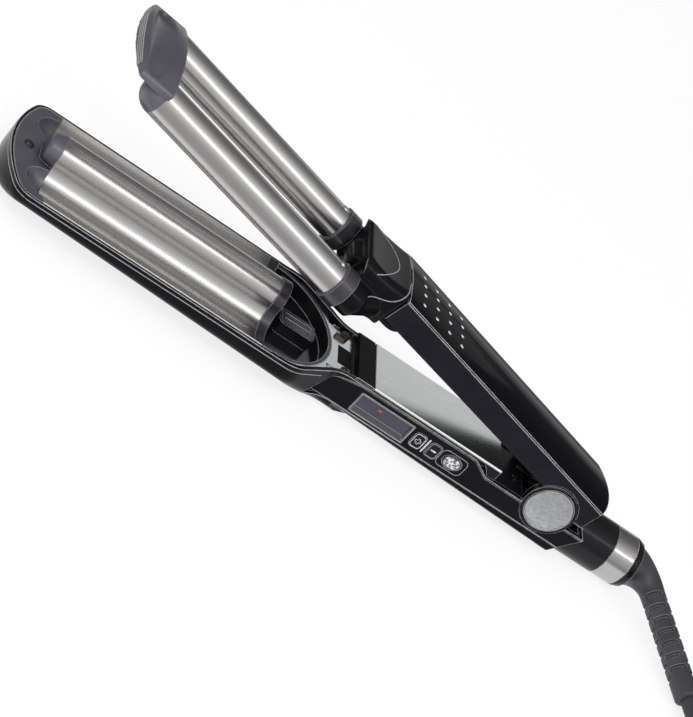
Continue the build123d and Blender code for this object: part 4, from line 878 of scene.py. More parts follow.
def pillow(outline: np.ndarray, height: float, rings: int = 5) -> np.ndarray:
    """Grid of a low crowned plate over an outline.

    Ring k of n lies at k / n of the outline's reach from its middle, and at
    height times the square root of 1 - (k / n) squared; the last ring is the
    foot, half the height inside the surface.

    Args:
        outline: the plate's outline, two coordinates each.
        height: height of its crown.
        rings: rings on its top.

    Returns:
        The grid, one row for each ring; the third coordinate is the height.
    """
    pole = 0.001
    share = np.linspace(pole, 1.0, rings)[:, None]
    middle = outline.mean(0)
    flat = middle + (outline - middle)[None] * share[..., None]
    lift = np.broadcast_to(height * np.sqrt(1 - share**2), flat.shape[:2])
    top = np.concatenate([flat, lift[..., None]], -1)
    foot = top[-1:].copy()
    foot[..., 2] = -0.5 * height
    middle_foot = foot.copy()
    middle_foot[..., :2] = middle + (foot[..., :2] - middle) * pole
    return np.concatenate([top, foot, middle_foot])


# ------------------------------------------------------------------ controls
@dataclass
class Controls:
    """Outline and dot of the display, and the marks round and on the keys, on the near side panel.

    Each face is the y of the surface that carries a mark.
    """

    face: float = -18.27
    bezel_face: float = -18.31
    key_face: float = -18.61
    lens_face: float = -17.06
    line: float = 0.3
    proud: float = 0.12
    display: tuple[float, float, float, float] = (-85.0, -7.1, 27.3, 9.7)
    display_corner: float = 1.0
    dot: tuple[float, float] = (-87.2, -5.6)
    dot_size: tuple[float, float] = (1.9, 0.9)
    dot_corner: float = 0.44
    key_z: float = -6.8
    plus_x: float = -66.0
    minus_x: float = -57.7
    power_x: float = -47.8
    divider_x: float = -61.85
    key_size: tuple[float, float] = (4.7, 6.7)
    key_corner: float = 1.2
    plus_reach: float = 1.35
    plus_arm: float = 0.5
    minus_size: tuple[float, float] = (2.7, 0.8)
    divider_size: tuple[float, float] = (0.75, 7.6)
    bar_corner: float = 0.35
    power_box: tuple[float, float] = (13.0, 8.8)
    power_corner: float = 2.4
    power_oval: tuple[float, float] = (7.6, 5.0)
    oval_corner: float = 2.45

    def add(self, name: str, grid: np.ndarray, body: str, ink: Finish, closed: bool) -> None:
        """Makes a mark from its grid.

        Args:
            name: the mark's name.
            grid: its points, in the lower arm's frame, in mm.
            body: the CAD body that carries it.
            ink: its finish.
            closed: whether its last row meets the first.
        """
        mesh = grid_mesh(name, STANCE.carry(grid * MM, Arm.LOWER), closed, True)
        add_piece(name, mesh, body, ink)

    def loop(self, name: str, outline: np.ndarray, place: Place, body: str, ink: Finish) -> None:
        """Raised line along a closed outline on a face that looks to the near side.

        Args:
            name: the line's name.
            outline: the outline round its middle, along x and z.
            place: its middle.
            body: the CAD body that carries it.
            ink: its finish.
        """
        x, face, z = place
        path = np.stack([x + outline[:, 0], np.full(len(outline), face), z + outline[:, 1]], -1)
        self.add(name, bead(path, np.array([0.0, -1.0, 0.0]), self.line, self.proud, True), body, ink, True)

    def plate(self, name: str, outline: np.ndarray, place: Place, body: str, ink: Finish) -> None:
        """Low crowned mark over an outline on a face that looks to the near side.

        Args:
            name: the mark's name.
            outline: the outline round its middle, along x and z.
            place: its middle.
            body: the CAD body that carries it.
            ink: its finish.
        """
        x, face, z = place
        grid = pillow(outline, self.proud)
        placed = np.stack([x + grid[..., 0], face - grid[..., 2], z + grid[..., 1]], -1)
        self.add(name, placed, body, ink, False)

    @staticmethod
    def cross(reach: float, arm: float) -> np.ndarray:
        """Outline of a plus sign: three corners to each quarter, turned four times.

        Args:
            reach: how far each arm reaches from the middle.
            arm: half the width of an arm.

        Returns:
            The twelve corners.
        """
        corner = np.array([(reach, -arm), (reach, arm), (arm, arm)])
        turns = np.arange(4) * math.pi / 2
        turn = np.stack([np.cos(turns), -np.sin(turns), np.sin(turns), np.cos(turns)], -1).reshape(4, 2, 2)
        return np.einsum("tij,kj->tki", turn, corner).reshape(-1, 2)

    def build(self) -> None:
        """Lines, marks and the lit dot."""
        x, z, width, height = self.display
        frame_line = round_box(width, height, self.display_corner)
        self.loop("display_outline", frame_line, (x, self.bezel_face, z), "root", LINE_INK)
        dot = (self.dot[0], self.lens_face, self.dot[1])
        self.plate("display_dot", round_box(*self.dot_size, self.dot_corner), dot, "root", RED_INK)
        key = round_box(*self.key_size, self.key_corner)
        plus = (self.plus_x, self.key_face, self.key_z)
        minus = (self.minus_x, self.key_face, self.key_z)
        self.loop("plus_outline", key, plus, "button_plus", KEY_INK)
        self.loop("plus_mark", self.cross(self.plus_reach, self.plus_arm), plus, "button_plus", KEY_INK)
        self.loop("minus_outline", key, minus, "button_minus", FAINT_INK)
        self.plate("minus_mark", round_box(*self.minus_size, self.bar_corner), minus, "button_minus", KEY_INK)
        divider = (self.divider_x, self.face, self.key_z)
        self.plate("key_divider", round_box(*self.divider_size, self.bar_corner), divider, "root", KEY_INK)
        ring = round_box(*self.power_box, self.power_corner)
        self.loop("power_outline", ring, (self.power_x, self.face, self.key_z), "root", LINE_INK)
        oval = round_box(*self.power_oval, self.oval_corner)
        self.plate("power_mark", oval, (self.power_x, self.key_face, self.key_z), "button_power", POWER_INK)


@dataclass
class CoverGlints:
    """Pale crowned inlays in the sixteen dimples of the upper cover: painted highlights where the dimples
    catch the light.
    """

    arm_front: float = -119.0
    edge_front: float = 17.4
    fall: float = 1.8 / 135.4
    first: float = 8.8
    step: float = 8.4
    gap: float = 7.0
    count: int = 4
    cover: float = 2.5
    crown_radius: float = 108.75
    sunk: float = 0.3
    size: tuple[float, float] = (2.3, 1.5)
    corner: float = 0.74
    rise: float = 0.42

    def places(self) -> np.ndarray:
        """Middles of the dimples.

        The cover's crown stands over the arm's sloping edge and falls off by
        the square of the distance from the middle over twice its radius.

        Returns:
            The places, in the upper arm's frame, in mm.
        """
        along = self.first + self.step * np.arange(self.count)
        across = self.gap * (np.arange(self.count) - (self.count - 1) / 2)
        along, across = np.meshgrid(along, across, indexing="ij")
        height = self.edge_front - self.fall * along + self.cover - across**2 / (2 * self.crown_radius)
        return np.stack([self.arm_front + along, across, height - self.sunk], -1).reshape(-1, 3)

    def build(self) -> None:
        """Repeats one crowned inlay, the painted highlight, at each place, as whole arrays."""
        grid = pillow(round_box(*self.size, self.corner, 4), self.rise, 4)
        rows, columns = grid.shape[:2]
        points = self.places()[:, None, None, :] + grid[None]
        index = np.arange(rows * columns).reshape(rows, columns)
        index = np.hstack([index, index[:, :1]])
        quads = np.stack([index[:-1, :-1], index[1:, :-1], index[1:, 1:], index[:-1, 1:]], -1).reshape(-1, 4)
        faces = quads[None] + rows * columns * np.arange(len(points))[:, None, None]
        mesh = bpy.data.meshes.new("cover_dimple_glints")
        placed = STANCE.carry(points.reshape(-1, 3) * MM, Arm.UPPER)
        mesh.from_pydata(placed.tolist(), [], faces.reshape(-1, 4).tolist())
        tidy_mesh(mesh)
        add_piece("cover_dimple_glints", mesh, "upper_arm", DIMPLE_GLINT)


@dataclass
class SoftenedNeck:
    """Moulded neck of the upper arm: the node's shape with all its corners rounded.

    The creases are lists of places along the arm and angles round its middle,
    up from the far side, in degrees.
    """

    voxel: float = 0.55 * MM
    rounds: int = 34
    stations: tuple[float, ...] = (-147.0, -142.0, -135.0, -128.0, -118.0, -106.0)
    half: tuple[float, ...] = (18.2, 18.6, 18.6, 18.6, 18.1, 18.0)
    top: tuple[float, ...] = (17.9, 18.4, 18.1, 18.4, 19.6, 19.9)
    radius: tuple[float, ...] = (7.0, 6.5, 6.0, 5.0, 3.5, 2.2)
    crown: tuple[tuple[float, float], ...] = (
        (-141.0, 43.0), (-135.4, 43.3), (-130.9, 45.0), (-127.3, 52.7), (-124.4, 80.0),
        (-124.8, 104.0), (-127.6, 121.0), (-131.0, 133.7), (-134.0, 143.2), (-137.2, 147.8)
    )
    shoulder: tuple[tuple[float, float], ...] = (
        (-119.5, 112.0), (-121.0, 140.0), (-122.0, 151.0), (-123.8, 158.0), (-127.0, 165.0), (-134.4, 170.3)
    )
    middle: float = 5.0
    outside: float = 60.0
    line_width: float = 0.5
    line_proud: float = 0.14
    line_points: int = 60
    smoothing: int = 60

    def crease(self, mesh: bpy.types.Mesh, name: str, points: np.ndarray) -> None:
        """Pale bead over the moulding along a crease: a painted highlight.

        The path through the points is smoothed, in rounds that each put a
        place at the mean of its neighbours, and then cast onto the moulding
        from outside, towards the middle.

        Args:
            mesh: the moulding.
            name: the crease's name.
            points: places along the arm and angles.
        """
        knots = np.linspace(0, 1, len(points))
        share = np.linspace(0, 1, self.line_points)
        x, angle = (np.interp(share, knots, column) for column in points.T)
        for _ in range(self.smoothing):
            x[1:-1], angle[1:-1] = (x[:-2] + x[2:]) / 2, (angle[:-2] + angle[2:]) / 2
        out = np.stack([np.zeros_like(x), np.cos(np.radians(angle)), np.sin(np.radians(angle))], -1)
        start = np.stack([x, np.zeros_like(x), np.full_like(x, self.middle)], -1) + self.outside * out
        places, normals = traced(mesh, start, -out, Arm.UPPER)
        grid = bead(places, normals, self.line_width * MM, self.line_proud * MM, False)
        add_piece(name, grid_mesh(name, grid, False, True, True), "upper_arm", LINE_GLINT)

    def build(self) -> None:
        """Stands for the plain neck; the shoulder creases are the same on both sides."""
        mesh = softened("upper_neck", self.voxel, self.rounds)
        rounded_over(mesh, Arm.UPPER, self.half, self.top, self.radius, self.stations)
        crown, shoulder = np.array(self.crown), np.array(self.shoulder)
        mirror, turn = np.array([1.0, -1.0]), np.array([0.0, 180.0])
        self.crease(mesh, "neck_crease_crown", crown)
        self.crease(mesh, "neck_crease_left", shoulder)
        self.crease(mesh, "neck_crease_right", shoulder * mirror + turn)
        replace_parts(add_piece("neck_moulding", mesh, "upper_arm", NECK_BLACK), "upper_neck")


@dataclass
class FingerRest:
    """Rest across the tips: its hollow softened and deepened, with fine grip ribs along its front face, drawn
    pale as a painted highlight.
    """

    voxel: float = 0.42 * MM
    rounds: int = 30
    sweep: float = 81.0
    tip: float = -273.95
    scoop_inset: float = 3.0
    scoop_rear: float = -255.6
    scoop_half: float = 27.5
    scoop_floor: float = 6.4
    scoop_depth: float = 0.85
    scoop_peak: float = 0.26
    scoop_power: float = 0.35
    side_power: int = 4
    facing_up: float = 0.2
    front: float = -300.0
    edge: float = 10.4
    arch: float = 120.0
    drops: tuple[float, ...] = (0.4, 1.3, 2.2, 3.1)
    rib_half: float = 23.5
    rib_points: int = 60
    rib_width: float = 0.42
    rib_height: float = 0.32

    def deepen(self, mesh: bpy.types.Mesh) -> None:
        """Deepens the hollow on top behind its front edge.

        With t from 0 at the front edge, an arc, to 1 at the rear edge, the
        extra depth goes as t to a power times 1 - t, over its own value at
        the peak; over the width it goes as 1 less the fourth power of y over
        its half width.

        Args:
            mesh: the rest, changed in place.
        """
        points = STANCE.fetch(per_vertex(mesh, "co"), Arm.UPPER) / MM
        x, y, z = points.T
        edge = self.tip + self.sweep - np.sqrt((self.sweep - self.scoop_inset) ** 2 - y**2)
        t = np.clip((x - edge) / (self.scoop_rear - edge), 0, 1)
        reach = t**self.scoop_power * (1 - t) / (self.scoop_peak**self.scoop_power * (1 - self.scoop_peak))
        reach *= np.clip(1 - (np.abs(y) / self.scoop_half) ** self.side_power, 0, 1)
        upward = (per_vertex(mesh, "normal")[:, 2] > self.facing_up) & (z > self.scoop_floor)
        points[:, 2] = np.where(upward, z - self.scoop_depth * reach, z)
        mesh.vertices.foreach_set("co", STANCE.carry(points * MM, Arm.UPPER).ravel())
        mesh.update()

    def rib(self, mesh: bpy.types.Mesh, drop: float) -> np.ndarray:
        """Grid of a rib on the front face.

        Its height is the front edge's, less the arch's depth at y (the
        arch's radius less the root of the radius squared less y squared),
        less its own drop.

        Args:
            mesh: the rest.
            drop: how far the rib lies under the front edge.

        Returns:
            The grid, of the standing tool.
        """
        y = np.linspace(-self.rib_half, self.rib_half, self.rib_points)
        z = self.edge - (self.arch - np.sqrt(self.arch**2 - y**2)) - drop
        start = np.stack([np.full_like(y, self.front), y, z], -1)
        places, normals = traced(mesh, start, np.broadcast_to((1.0, 0.0, 0.0), start.shape), Arm.UPPER)
        return bead(places, normals, self.rib_width * MM, self.rib_height * MM, False)

    def build(self) -> None:
        """Makes the rest and its ribs."""
        mesh = softened("finger_rest", self.voxel, self.rounds)
        self.deepen(mesh)
        for number, drop in enumerate(self.drops, 1):
            name = f"finger_rest_rib_{number}"
            rib = grid_mesh(name, self.rib(mesh, drop), False, True, True)
            # the ribs are drawn pale: a painted highlight on the ridges
            add_piece(name, rib, "upper_arm", RIB_GLINT)
        rest = add_piece("finger_rest_moulding", mesh, "upper_arm", DARK_PLASTIC)
        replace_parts(rest, "finger_rest")


@dataclass
class TrayTrim:
    """Polished lip along the near rim of the tray."""

    front: float = -258.2
    rear: float = -151.8
    side: float = 33.35
    rim: float = -0.5
    width: float = 0.9
    height: float = 0.35
    points: int = 24

    def build(self) -> None:
        """A straight bead."""
        x = np.linspace(self.front, self.rear, self.points)
        path = np.stack([x, np.full_like(x, -self.side), np.full_like(x, self.rim)], -1)
        grid = bead(path * MM, np.array([0.0, 0.0, 1.0]), self.width * MM, self.height * MM, False)
        mesh = grid_mesh("tray_lip", STANCE.carry(grid, Arm.LOWER), False, True, True)
        add_piece("tray_lip", mesh, "root", RIM_METAL)


@dataclass
class ShellLines:
    """Pale lines round the bowl of the lower casing and along the foot of both side panels: painted
    highlights on those edges.
    """

    height: float = -2.4
    rear: float = -120.0
    tip_centre: float = -246.0
    outside: float = 60.0
    bowl_width: float = 0.5
    proud: float = 0.12
    flank_points: int = 60
    tip_points: int = 48
    panel: tuple[float, float] = (-120.5, 15.4)
    panel_foot: float = -13.45
    panel_face: float = 18.25
    panel_width: float = 0.4
    panel_points: int = 30

    def bowl(self) -> tuple[np.ndarray, np.ndarray]:
        """Line round the bowl: along one flank, round the tip by equal angles, and back along the other.

        Returns:
            Places on the casing and its normals there, of the standing tool.
        """
        x = np.linspace(self.rear, self.tip_centre, self.flank_points)
        flank = np.stack([x, np.full_like(x, -self.outside), np.full_like(x, self.height)], -1)
        turn = np.linspace(1.5 * math.pi, 0.5 * math.pi, self.tip_points)[1:-1]
        out = np.stack([np.cos(turn), np.sin(turn), np.zeros_like(turn)], -1)
        tip = np.array([self.tip_centre, 0.0, self.height]) + self.outside * out
        near = np.broadcast_to((0.0, 1.0, 0.0), flank.shape)
        start = np.concatenate([flank, tip, flank[::-1] * (1, -1, 1)])
        shell = frame["nodes"]["lower_shell"].data
        return traced(shell, start, np.concatenate([near, -out, -near]), Arm.LOWER)

    @staticmethod
    def add(name: str, grid: np.ndarray) -> None:
        """Makes a line from its grid."""
        add_piece(name, grid_mesh(name, grid, False, True, True), "root", LINE_GLINT)

    def build(self) -> None:
        """Makes the three lines."""
        self.add("bowl_line", bead(*self.bowl(), self.bowl_width * MM, self.proud * MM, False))
        x = np.linspace(*self.panel, self.panel_points)
        foot = np.stack([x, np.zeros_like(x), np.full_like(x, self.panel_foot)], -1)
        for side, name in ((-1, "panel_line_left"), (1, "panel_line_right")):
            path = foot + (0.0, side * self.panel_face, 0.0)
            grid = bead(path * MM, np.array([0.0, side, 0.0]), self.panel_width * MM, self.proud * MM, False)
            self.add(name, STANCE.carry(grid, Arm.LOWER))


@dataclass
class BarrelRivets:
    """Small bright rivet on top of each barrel in front of its collar."""

    x: float = -151.6
    pitch: float = 43.2
    height: float = 2.2
    barrel: float = 8.0
    radius: float = 1.5
    corner: float = 1.485
    proud: float = 0.8
    sunk: float = 0.12

    def build(self) -> None:
        """A crowned disc for each barrel."""
        grid = pillow(round_box(2 * self.radius, 2 * self.radius, self.corner), self.proud)
        for side, name in ((-1, "barrel_rivet_left"), (1, "barrel_rivet_right")):
            placed = grid + np.array([self.x, side * self.pitch / 2, self.height + self.barrel - self.sunk])
            mesh = grid_mesh(name, STANCE.carry(placed * MM, Arm.UPPER), False, True)
            add_piece(name, mesh, "upper_arm", RIM_METAL)


@dataclass
class BootSleeve:
    """Bend protector: a flare that turns out of the tail cap and runs out as a slotted sleeve."""

    start: Place = (55.9, 0.0, -11.0)
    end: Place = (92.4394, -58.1167, 6.7332)
    heading: Place = (0.4067, -0.9135, -0.1100)
    run: float = 64.0
    bend: float = 14.0
    flare_stations: tuple[float, ...] = (0.0, 2.5, 6.0, 10.0, 14.0, 18.0)
    flare_radii: tuple[float, ...] = (10.0, 9.6, 8.3, 7.0, 6.1, 5.65)
    blend: int = 12
    sleeve: float = 5.65
    mouth: float = 4.1
    mouth_round: float = 1.6
    first_slot: float = 21.0
    pitch: float = 6.2
    slots: int = 7
    slot_half: float = 0.95
    slot_soft: float = 0.28
    slot_deep: float = 1.5
    slot_reach: float = math.radians(40)
    slot_end: float = 0.5
    slot_facing: Place = (-0.337, -0.829, 0.446)
    rows: int = 430
    columns: int = 120

    def centre_line(self) -> tuple[np.ndarray, np.ndarray, np.ndarray]:
        """Points, directions and distances along the sleeve's middle.

        Two straight runs joined by an arc that is tangent to both: the arc
        starts the bend radius times the tangent of half the turn before the
        corner, and a point on it is the arc's centre plus the radius times
        cosine and sine in the plane of both runs.

        Returns:
            The points, the directions and the distances, in mm.
        """
        way = np.array(self.heading) / np.linalg.norm(self.heading)
        corner = np.array(self.end) - way * self.run
        start = STANCE.carry(np.array(self.start) * MM, Arm.LOWER) / MM
        out = (corner - start) / np.linalg.norm(corner - start)
        turn = math.acos(float(out @ way))
        back = self.bend * math.tan(turn / 2)
        side = way - out * float(out @ way)
        side /= np.linalg.norm(side)
        first = float(np.linalg.norm(corner - start)) - back
        arc = self.bend * turn
        total = first + arc + self.run - back
        s = np.linspace(0, total, self.rows)
        angle = np.clip((s - first) / self.bend, 0, turn)
        on_arc = (
            start
            + out * (np.minimum(s, first) + self.bend * np.sin(angle))[:, None]
            + side * (self.bend * (1 - np.cos(angle)))[:, None]
        )
        ways = out * np.cos(angle)[:, None] + side * np.sin(angle)[:, None]
        points = on_arc + ways * np.maximum(s - first - arc, 0)[:, None]
        return points, ways, s

    @staticmethod
    def window(value: np.ndarray, half: float, soft: float) -> np.ndarray:
        """1 within half of zero, falling to 0 over twice soft, by a cubic step."""
        share = np.clip((half + soft - np.abs(value)) / (2 * soft), 0, 1)
        return share * share * (3 - 2 * share)

    def build(self) -> None:
        """Makes the skin.

        The radius follows the flare, blended by a running mean, and then the
        sleeve, less the depth of the slots: pairs of slots on opposite sides
        at every pitch, and pairs a quarter turn and half a pitch on. It closes
        to the mouth over a quarter ellipse.
        """
        points, ways, s = self.centre_line()
        radius = np.interp(s, self.flare_stations, self.flare_radii)
        span = 2 * self.blend + 1
        radius[self.blend : -self.blend] = np.convolve(radius, np.ones(span) / span, "valid")
        close = np.clip((s[-1] - s) / self.mouth_round, 0, 1)
        radius = self.mouth + (radius - self.mouth) * np.sqrt(1 - (1 - close) ** 2)
        toward = np.array(self.slot_facing)
        first = toward - ways * (ways @ toward)[:, None]
        first /= np.linalg.norm(first, axis=1, keepdims=True)
        second = np.cross(ways, first)
        angle = np.linspace(0, 2 * math.pi, self.columns + 1)[:-1]
        cut = np.zeros((self.rows, self.columns))
        for index in range(2 * self.slots):
            along = self.window(s - self.first_slot - self.pitch * index / 2, self.slot_half, self.slot_soft)
            swing = (angle + (index % 2) * math.pi / 2 + math.pi / 2) % math.pi - math.pi / 2
            around = self.window(swing * self.sleeve, self.slot_reach * self.sleeve, self.slot_end)
            cut = np.maximum(cut, along[:, None] * around[None])
        reach = radius[:, None] - self.slot_deep * cut
        grid = (
            points[:, None]
            + first[:, None] * (reach * np.cos(angle))[..., None]
            + second[:, None] * (reach * np.sin(angle))[..., None]
        )
        mesh = grid_mesh("boot_sleeve", grid * MM, False, True, True)
        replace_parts(add_piece("boot_sleeve", mesh, "swivel", BOOT_RUBBER), "cord_boot")


@dataclass
class HingeTrim:
    """Bright turned rims round both hinge discs."""

    radius: float = 10.15
    face: float = 18.98
    width: float = 0.7
    proud: float = 0.28
    points: int = 96

    def build(self) -> None:
        """A bead on a circle for each side: radius times cosine and sine."""
        angle = 2 * math.pi * np.arange(self.points) / self.points
        circle = np.stack([np.cos(angle), np.zeros_like(angle), np.sin(angle)], -1) * self.radius
        for side, name in ((-1, "hinge_rim_left"), (1, "hinge_rim_right")):
            path = circle + (0.0, side * self.face, 0.0)
            grid = bead(path * MM, np.array([0.0, side, 0.0]), self.width * MM, self.proud * MM, True)
            mesh = grid_mesh(name, STANCE.carry(grid, Arm.LOWER), True, True)
            add_piece(name, mesh, "root", CHROME)


@dataclass
class PlugPins:
    """Bright outer halves of the plug's pins, over the plain pins of the node."""

    start: Place = (159.0, -109.0, 28.6)
    heading: Place = (0.9943, -0.1071, 0.0)
    body: float = 34.0
    length: float = 19.0
    bare: float = 10.0
    pitch: float = 18.6
    radius: float = 2.04
    pole: float = 0.001
    nose_points: int = 9
    points: int = 32

    def build(self) -> None:
        """Revolves each pin: the radius is full up to a nose that is a quarter circle."""
        way = np.array(self.heading) / np.linalg.norm(self.heading)
        across = np.cross((0.0, 0.0, 1.0), way)
        nose = np.linspace(0, math.pi / 2, self.nose_points)
        along = np.concatenate([[0.0], self.bare - self.radius * (1 - np.sin(nose))])
        reach = self.radius * np.concatenate([[1.0], np.cos(nose)]) + self.pole
        angle = 2 * math.pi * np.arange(self.points) / self.points
        ring = across * np.cos(angle)[:, None] + np.array([0.0, 0.0, 1.0]) * np.sin(angle)[:, None]
        foot = np.array(self.start) + way * (self.body + self.length - self.bare)
        for side, name in ((-1, "plug_pin_one"), (1, "plug_pin_two")):
            middle = foot + across * side * self.pitch / 2
            grid = middle + (way * along[:, None])[:, None] + ring[None] * reach[:, None, None]
            add_piece(name, grid_mesh(name, grid * MM, False, True, True), "swivel", STEEL)


# ------------------------------------------------------------------ cord
@dataclass
class MainsCord:
    """Lead from the boot to the coil, the coil itself, and the tail to the plug."""

    radius: float = 3.5 * MM
    length: float = 2.8
    boot_end: Place = (92.4394 * MM, -58.1167 * MM, 6.7332 * MM)
    lead: tuple[Place, ...] = ((97.998, -70.603, 5.23), (103.3, -84.4, 4.75))
    centre: tuple[float, float] = (151.0, -74.0)
    mean_radius: float = 38.5
    floor_gap: float = 0.8
    wide: int = 4
    start_angle: float = 210.0
    points_per_turn: int = 16
    shift_points: int = 5
    tail: tuple[Place, ...] = (
        (120.0, -92.5, 17.8),
        (134.0, -103.0, 25.0),
        (146.0, -107.6, 28.6),
        (159.0, -109.0, 28.6),
    )

    def lanes(self) -> list[tuple[int, int]]:
        """Lane and layer of each turn: in along the first layer, out along the next, and in on top.

        Returns:
            The lane from the inside and the layer from the floor, for each turn.
        """
        inward = list(range(self.wide - 1, -1, -1))
        order = [(lane, 0) for lane in inward] + [(lane, 1) for lane in reversed(inward)]
        return order + [(lane, 2) for lane in inward[:-1]]

    def coil(self) -> list[Place]:
        """Control points of the turns.

        A quadratic spline through a ring of n points runs at about cos(pi / n)
        of their radius, so the points stand out by the inverse of that.

        Returns:
            The points, in mm.
        """
        n = self.points_per_turn
        spread = 1 / math.cos(math.pi / n)
        turns = self.lanes()
        found = []
        for index, (lane, layer) in enumerate(turns):
            following = turns[min(index + 1, len(turns) - 1)]
            last = index == len(turns) - 1
            for step in range(n):
                share = max(0.0, (step - (n - self.shift_points)) / self.shift_points) if not last else 0.0
                here = lane + (following[0] - lane) * share
                height = layer + (following[1] - layer) * share
                radius = (self.mean_radius + 2 * self.radius / MM * (here - (self.wide - 1) / 2)) * spread
                angle = math.radians(self.start_angle) + 2 * math.pi * step / n
                found.append(
                    (
                        self.centre[0] + radius * math.cos(angle),
                        self.centre[1] + radius * math.sin(angle),
                        self.floor_gap + self.radius / MM * (1 + 2 * height),
                    )
                )
        return found

    def route(self) -> np.ndarray:
        """All control points, in metres."""
        points = np.array([*self.lead, *self.coil(), *self.tail]) * MM
        return np.vstack([self.boot_end, points])

    def build(self) -> None:
        """Makes the cord as one smooth spline with a round section."""
        curve = bpy.data.curves.new("mains_cord", "CURVE")
        curve.dimensions = "3D"
        spline = curve.splines.new("NURBS")
        route = self.route()
        spline.points.add(len(route) - 1)
        for point, place in zip(spline.points, route):
            point.co = (*place, 1.0)
        spline.order_u = 3
        spline.use_endpoint_u = True
        curve.resolution_u = 6
        curve.bevel_depth = self.radius
        curve.bevel_resolution = 4
        curve.use_fill_caps = True
        cord = add_piece("mains_cord", curve, "swivel", CORD_RUBBER)
        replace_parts(cord, "cord_lead", "cord_coil", "cord_tail")


# ------------------------------------------------------------------ studio
@dataclass(frozen=True)
class Lamp:
    """Soft rectangular lamp that faces the tool, its long side level.

    At a radiance of 1 its face is white. The gloss shows it where it is
    mirrored, and it lights matt surfaces where it lights.
    """

    name: str
    place: Place
    size: tuple[float, float]
    radiance: float
    mirrored: bool = True
    lights: bool = True

    def build(self, aim: Place) -> None:
        """Makes the lamp.

        Args:
            aim: the place that it faces.
        """
        data = bpy.data.lights.new(self.name, "AREA")
        data.shape = "RECTANGLE"
        data.size, data.size_y = self.size
        data.energy = self.radiance * math.pi * data.size * data.size_y
        lamp = bpy.data.objects.new(self.name, data)
        lamp.location = self.place
        lamp.visible_camera = False
        lamp.visible_glossy = self.mirrored
        lamp.visible_diffuse = self.lights
        lamp.rotation_euler = (Vector(aim) - Vector(self.place)).to_track_quat("-Z", "Y").to_euler()
        bpy.context.scene.collection.objects.link(lamp)


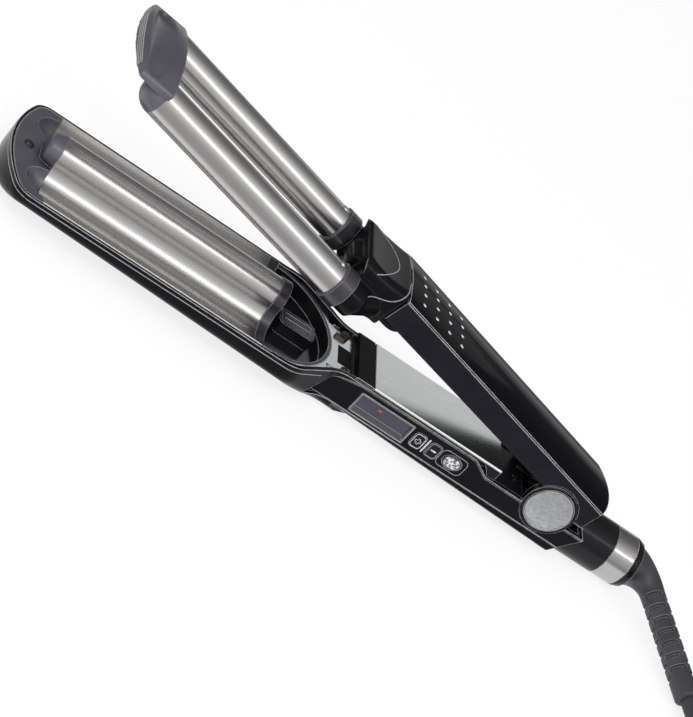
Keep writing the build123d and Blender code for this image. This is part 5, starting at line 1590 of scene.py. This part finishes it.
@dataclass
class Studio:
    """Pale floor, soft lamps, white surroundings and the camera.

    The room's levels go from the front horizon at 0 over the zenith at 0.5 to
    the back horizon at 1. The card is a small lamp that only the gloss shows:
    its image lies on the polished deck, up to where the upper arm hides it.
    """

    eye: Place = (-0.48604, -0.93219, 0.51908)
    right: Place = (0.77349, 0.02677, 0.63324)
    up: Place = (-0.53705, 0.55826, 0.63239)
    lens: float = 134.54
    sensor: float = 36.0
    aim: Place = (-0.11, 0.0, 0.03)
    lamps: tuple[Lamp, ...] = (
        Lamp("key_strip", (-0.15, -0.60, 0.77), (1.5, 0.14), 2.5),
        Lamp("front_fill", (-0.45, -1.10, 0.75), (1.2, 1.2), 3.2, mirrored=False),
        Lamp("deck_card", (0.035, 0.257, 0.163), (0.155, 0.09), 0.47, lights=False),
    )
    world_level: float = 0.82
    room_levels: tuple[tuple[float, Colour], ...] = (
        (0.0, (0.46, 0.46, 0.465)),
        (0.11, (0.62, 0.62, 0.62)),
        (0.16, (0.70, 0.70, 0.70)),
        (0.21, (0.88, 0.88, 0.88)),
        (0.25, (1.0, 1.0, 1.0)),
        (0.33, (1.0, 1.0, 1.0)),
        (0.38, (0.80, 0.785, 0.77)),
        (0.45, (0.56, 0.545, 0.53)),
        (0.52, (0.38, 0.37, 0.365)),
        (0.60, (0.24, 0.235, 0.235)),
        (0.70, (0.17, 0.17, 0.175)),
        (0.94, (0.13, 0.13, 0.14)),
        (0.985, (1.0, 1.0, 1.0)),
    )
    floor_half: float = 6.0
    floor_paint: Colour = (0.9, 0.9, 0.9)
    kept_shadow: float = 0.2
    tool_middle: float = -0.02
    near_floor: float = 0.025
    far_floor: float = 0.10
    far_level: float = 0.22

    def camera(self) -> None:
        """Camera at the fitted place, rolled about its own axis."""
        data = bpy.data.cameras.new("camera")
        data.lens = self.lens
        data.sensor_width = self.sensor
        data.sensor_fit = "AUTO"
        camera = bpy.data.objects.new("camera", data)
        right = Vector(self.right).normalized()
        up = Vector(self.up)
        up = (up - right * up.dot(right)).normalized()
        turn = Matrix((right, up, right.cross(up))).transposed().to_4x4()
        camera.matrix_world = Matrix.Translation(self.eye) @ turn
        bpy.context.scene.collection.objects.link(camera)
        bpy.context.scene.camera = camera

    @staticmethod
    def rays(shader: Shader, kind: str) -> Signal:
        """1 for rays of a kind: Camera, Glossy or Transmission."""
        return shader.signal("ShaderNodeLightPath", {}, {}, f"Is {kind} Ray")

    def white_to_lens(self, shader: Shader) -> Signal:
        """1 for camera, glossy and transmission rays."""
        seen = self.rays(shader, "Camera") + self.rays(shader, "Glossy") + self.rays(shader, "Transmission")
        return seen.ramp(0.0, 1.0)

    def room(self, shader: Shader) -> Signal:
        """Level of the studio round the tool's length.

        The angle is the arc tangent of height over depth, over half a turn.

        Args:
            shader: the world's node tree.

        Returns:
            The level in each direction.
        """
        here = shader.signal("ShaderNodeTexCoord", {}, {}, "Generated")
        parts = shader.node("ShaderNodeSeparateXYZ", {}, {0: here})
        depth = Signal(shader, parts.outputs["Y"]) * -1.0
        height = Signal(shader, parts.outputs["Z"])
        angle = height.math("ARCTAN2", height, depth) * (1 / math.pi)
        return shader.signal("ShaderNodeValToRGB", {"stops": self.room_levels}, {"Fac": angle})

    def surroundings(self) -> None:
        """White background for the lens, the room for the gloss, one level for the rest."""
        world = bpy.data.worlds.new("studio")
        bpy.context.scene.world = world
        shader = Shader(world)
        lit = shader.signal("ShaderNodeBackground", {}, {"Color": (1, 1, 1), "Strength": self.world_level})
        white = shader.signal("ShaderNodeBackground", {}, {"Color": (1, 1, 1), "Strength": 1.0})
        boxes = shader.signal("ShaderNodeBackground", {}, {"Color": self.room(shader), "Strength": 1.0})
        plain = shader.signal("ShaderNodeMixShader", {}, {0: self.white_to_lens(shader), 1: lit, 2: white})
        both = shader.signal("ShaderNodeMixShader", {}, {0: self.rays(shader, "Glossy"), 1: plain, 2: boxes})
        shader.node("ShaderNodeOutputWorld", {}, {"Surface": both})

    def floor(self) -> None:
        """Pale floor that stays white to the lens but keeps a share of the shadow; the gloss sees it fade.

        The level that the gloss sees falls by a smooth step over the distance
        from the tool's middle in y.
        """
        corners = self.floor_half * np.array([(-1, -1, 0), (1, -1, 0), (1, 1, 0), (-1, 1, 0)])
        mesh = bpy.data.meshes.new("floor")
        mesh.from_pydata(corners.tolist(), [], [(0, 1, 2, 3)])
        floor = bpy.data.objects.new("floor", mesh)
        bpy.context.scene.collection.objects.link(floor)
        material = bpy.data.materials.new("floor_white")
        shader = Shader(material)
        seen = self.white_to_lens(shader) * (1 - self.kept_shadow)
        paint = shader.signal("ShaderNodeBsdfDiffuse", {}, {"Color": self.floor_paint})
        depth = Signal(shader, shader.node("ShaderNodeSeparateXYZ", {}, {0: shader.place()}).outputs["Y"])
        away = depth - self.tool_middle
        fade = away.math("ABSOLUTE", away).ramp(self.near_floor, self.far_floor, 0.0, 1 - self.far_level)
        level = 1.0 - fade * self.rays(shader, "Glossy")
        white = shader.signal("ShaderNodeEmission", {}, {"Color": (1, 1, 1), "Strength": level})
        both = shader.signal("ShaderNodeMixShader", {}, {0: seen, 1: paint, 2: white})
        shader.node("ShaderNodeOutputMaterial", {}, {"Surface": both})
        mesh.materials.append(material)

    def build(self) -> None:
        """Sets the whole studio."""
        self.camera()
        self.surroundings()
        self.floor()
        for lamp in self.lamps:
            lamp.build(self.aim)
        bpy.context.scene.view_settings.view_transform = "Standard"


def main() -> None:
    """Builds the pieces in order and reports each."""
    for finish, names in NODE_FINISH.items():
        dress(names.split(), finish)
    parts = (
        Studio, Controls, HingeTrim, CoverGlints, SoftenedNeck, FingerRest, TrayTrim, ShellLines, BarrelRivets,
        BootSleeve, PlugPins, MainsCord,
    )
    for part in parts:
        part().build()


if __name__ == "__main__":
    logging.basicConfig(level=logging.INFO)
    main()
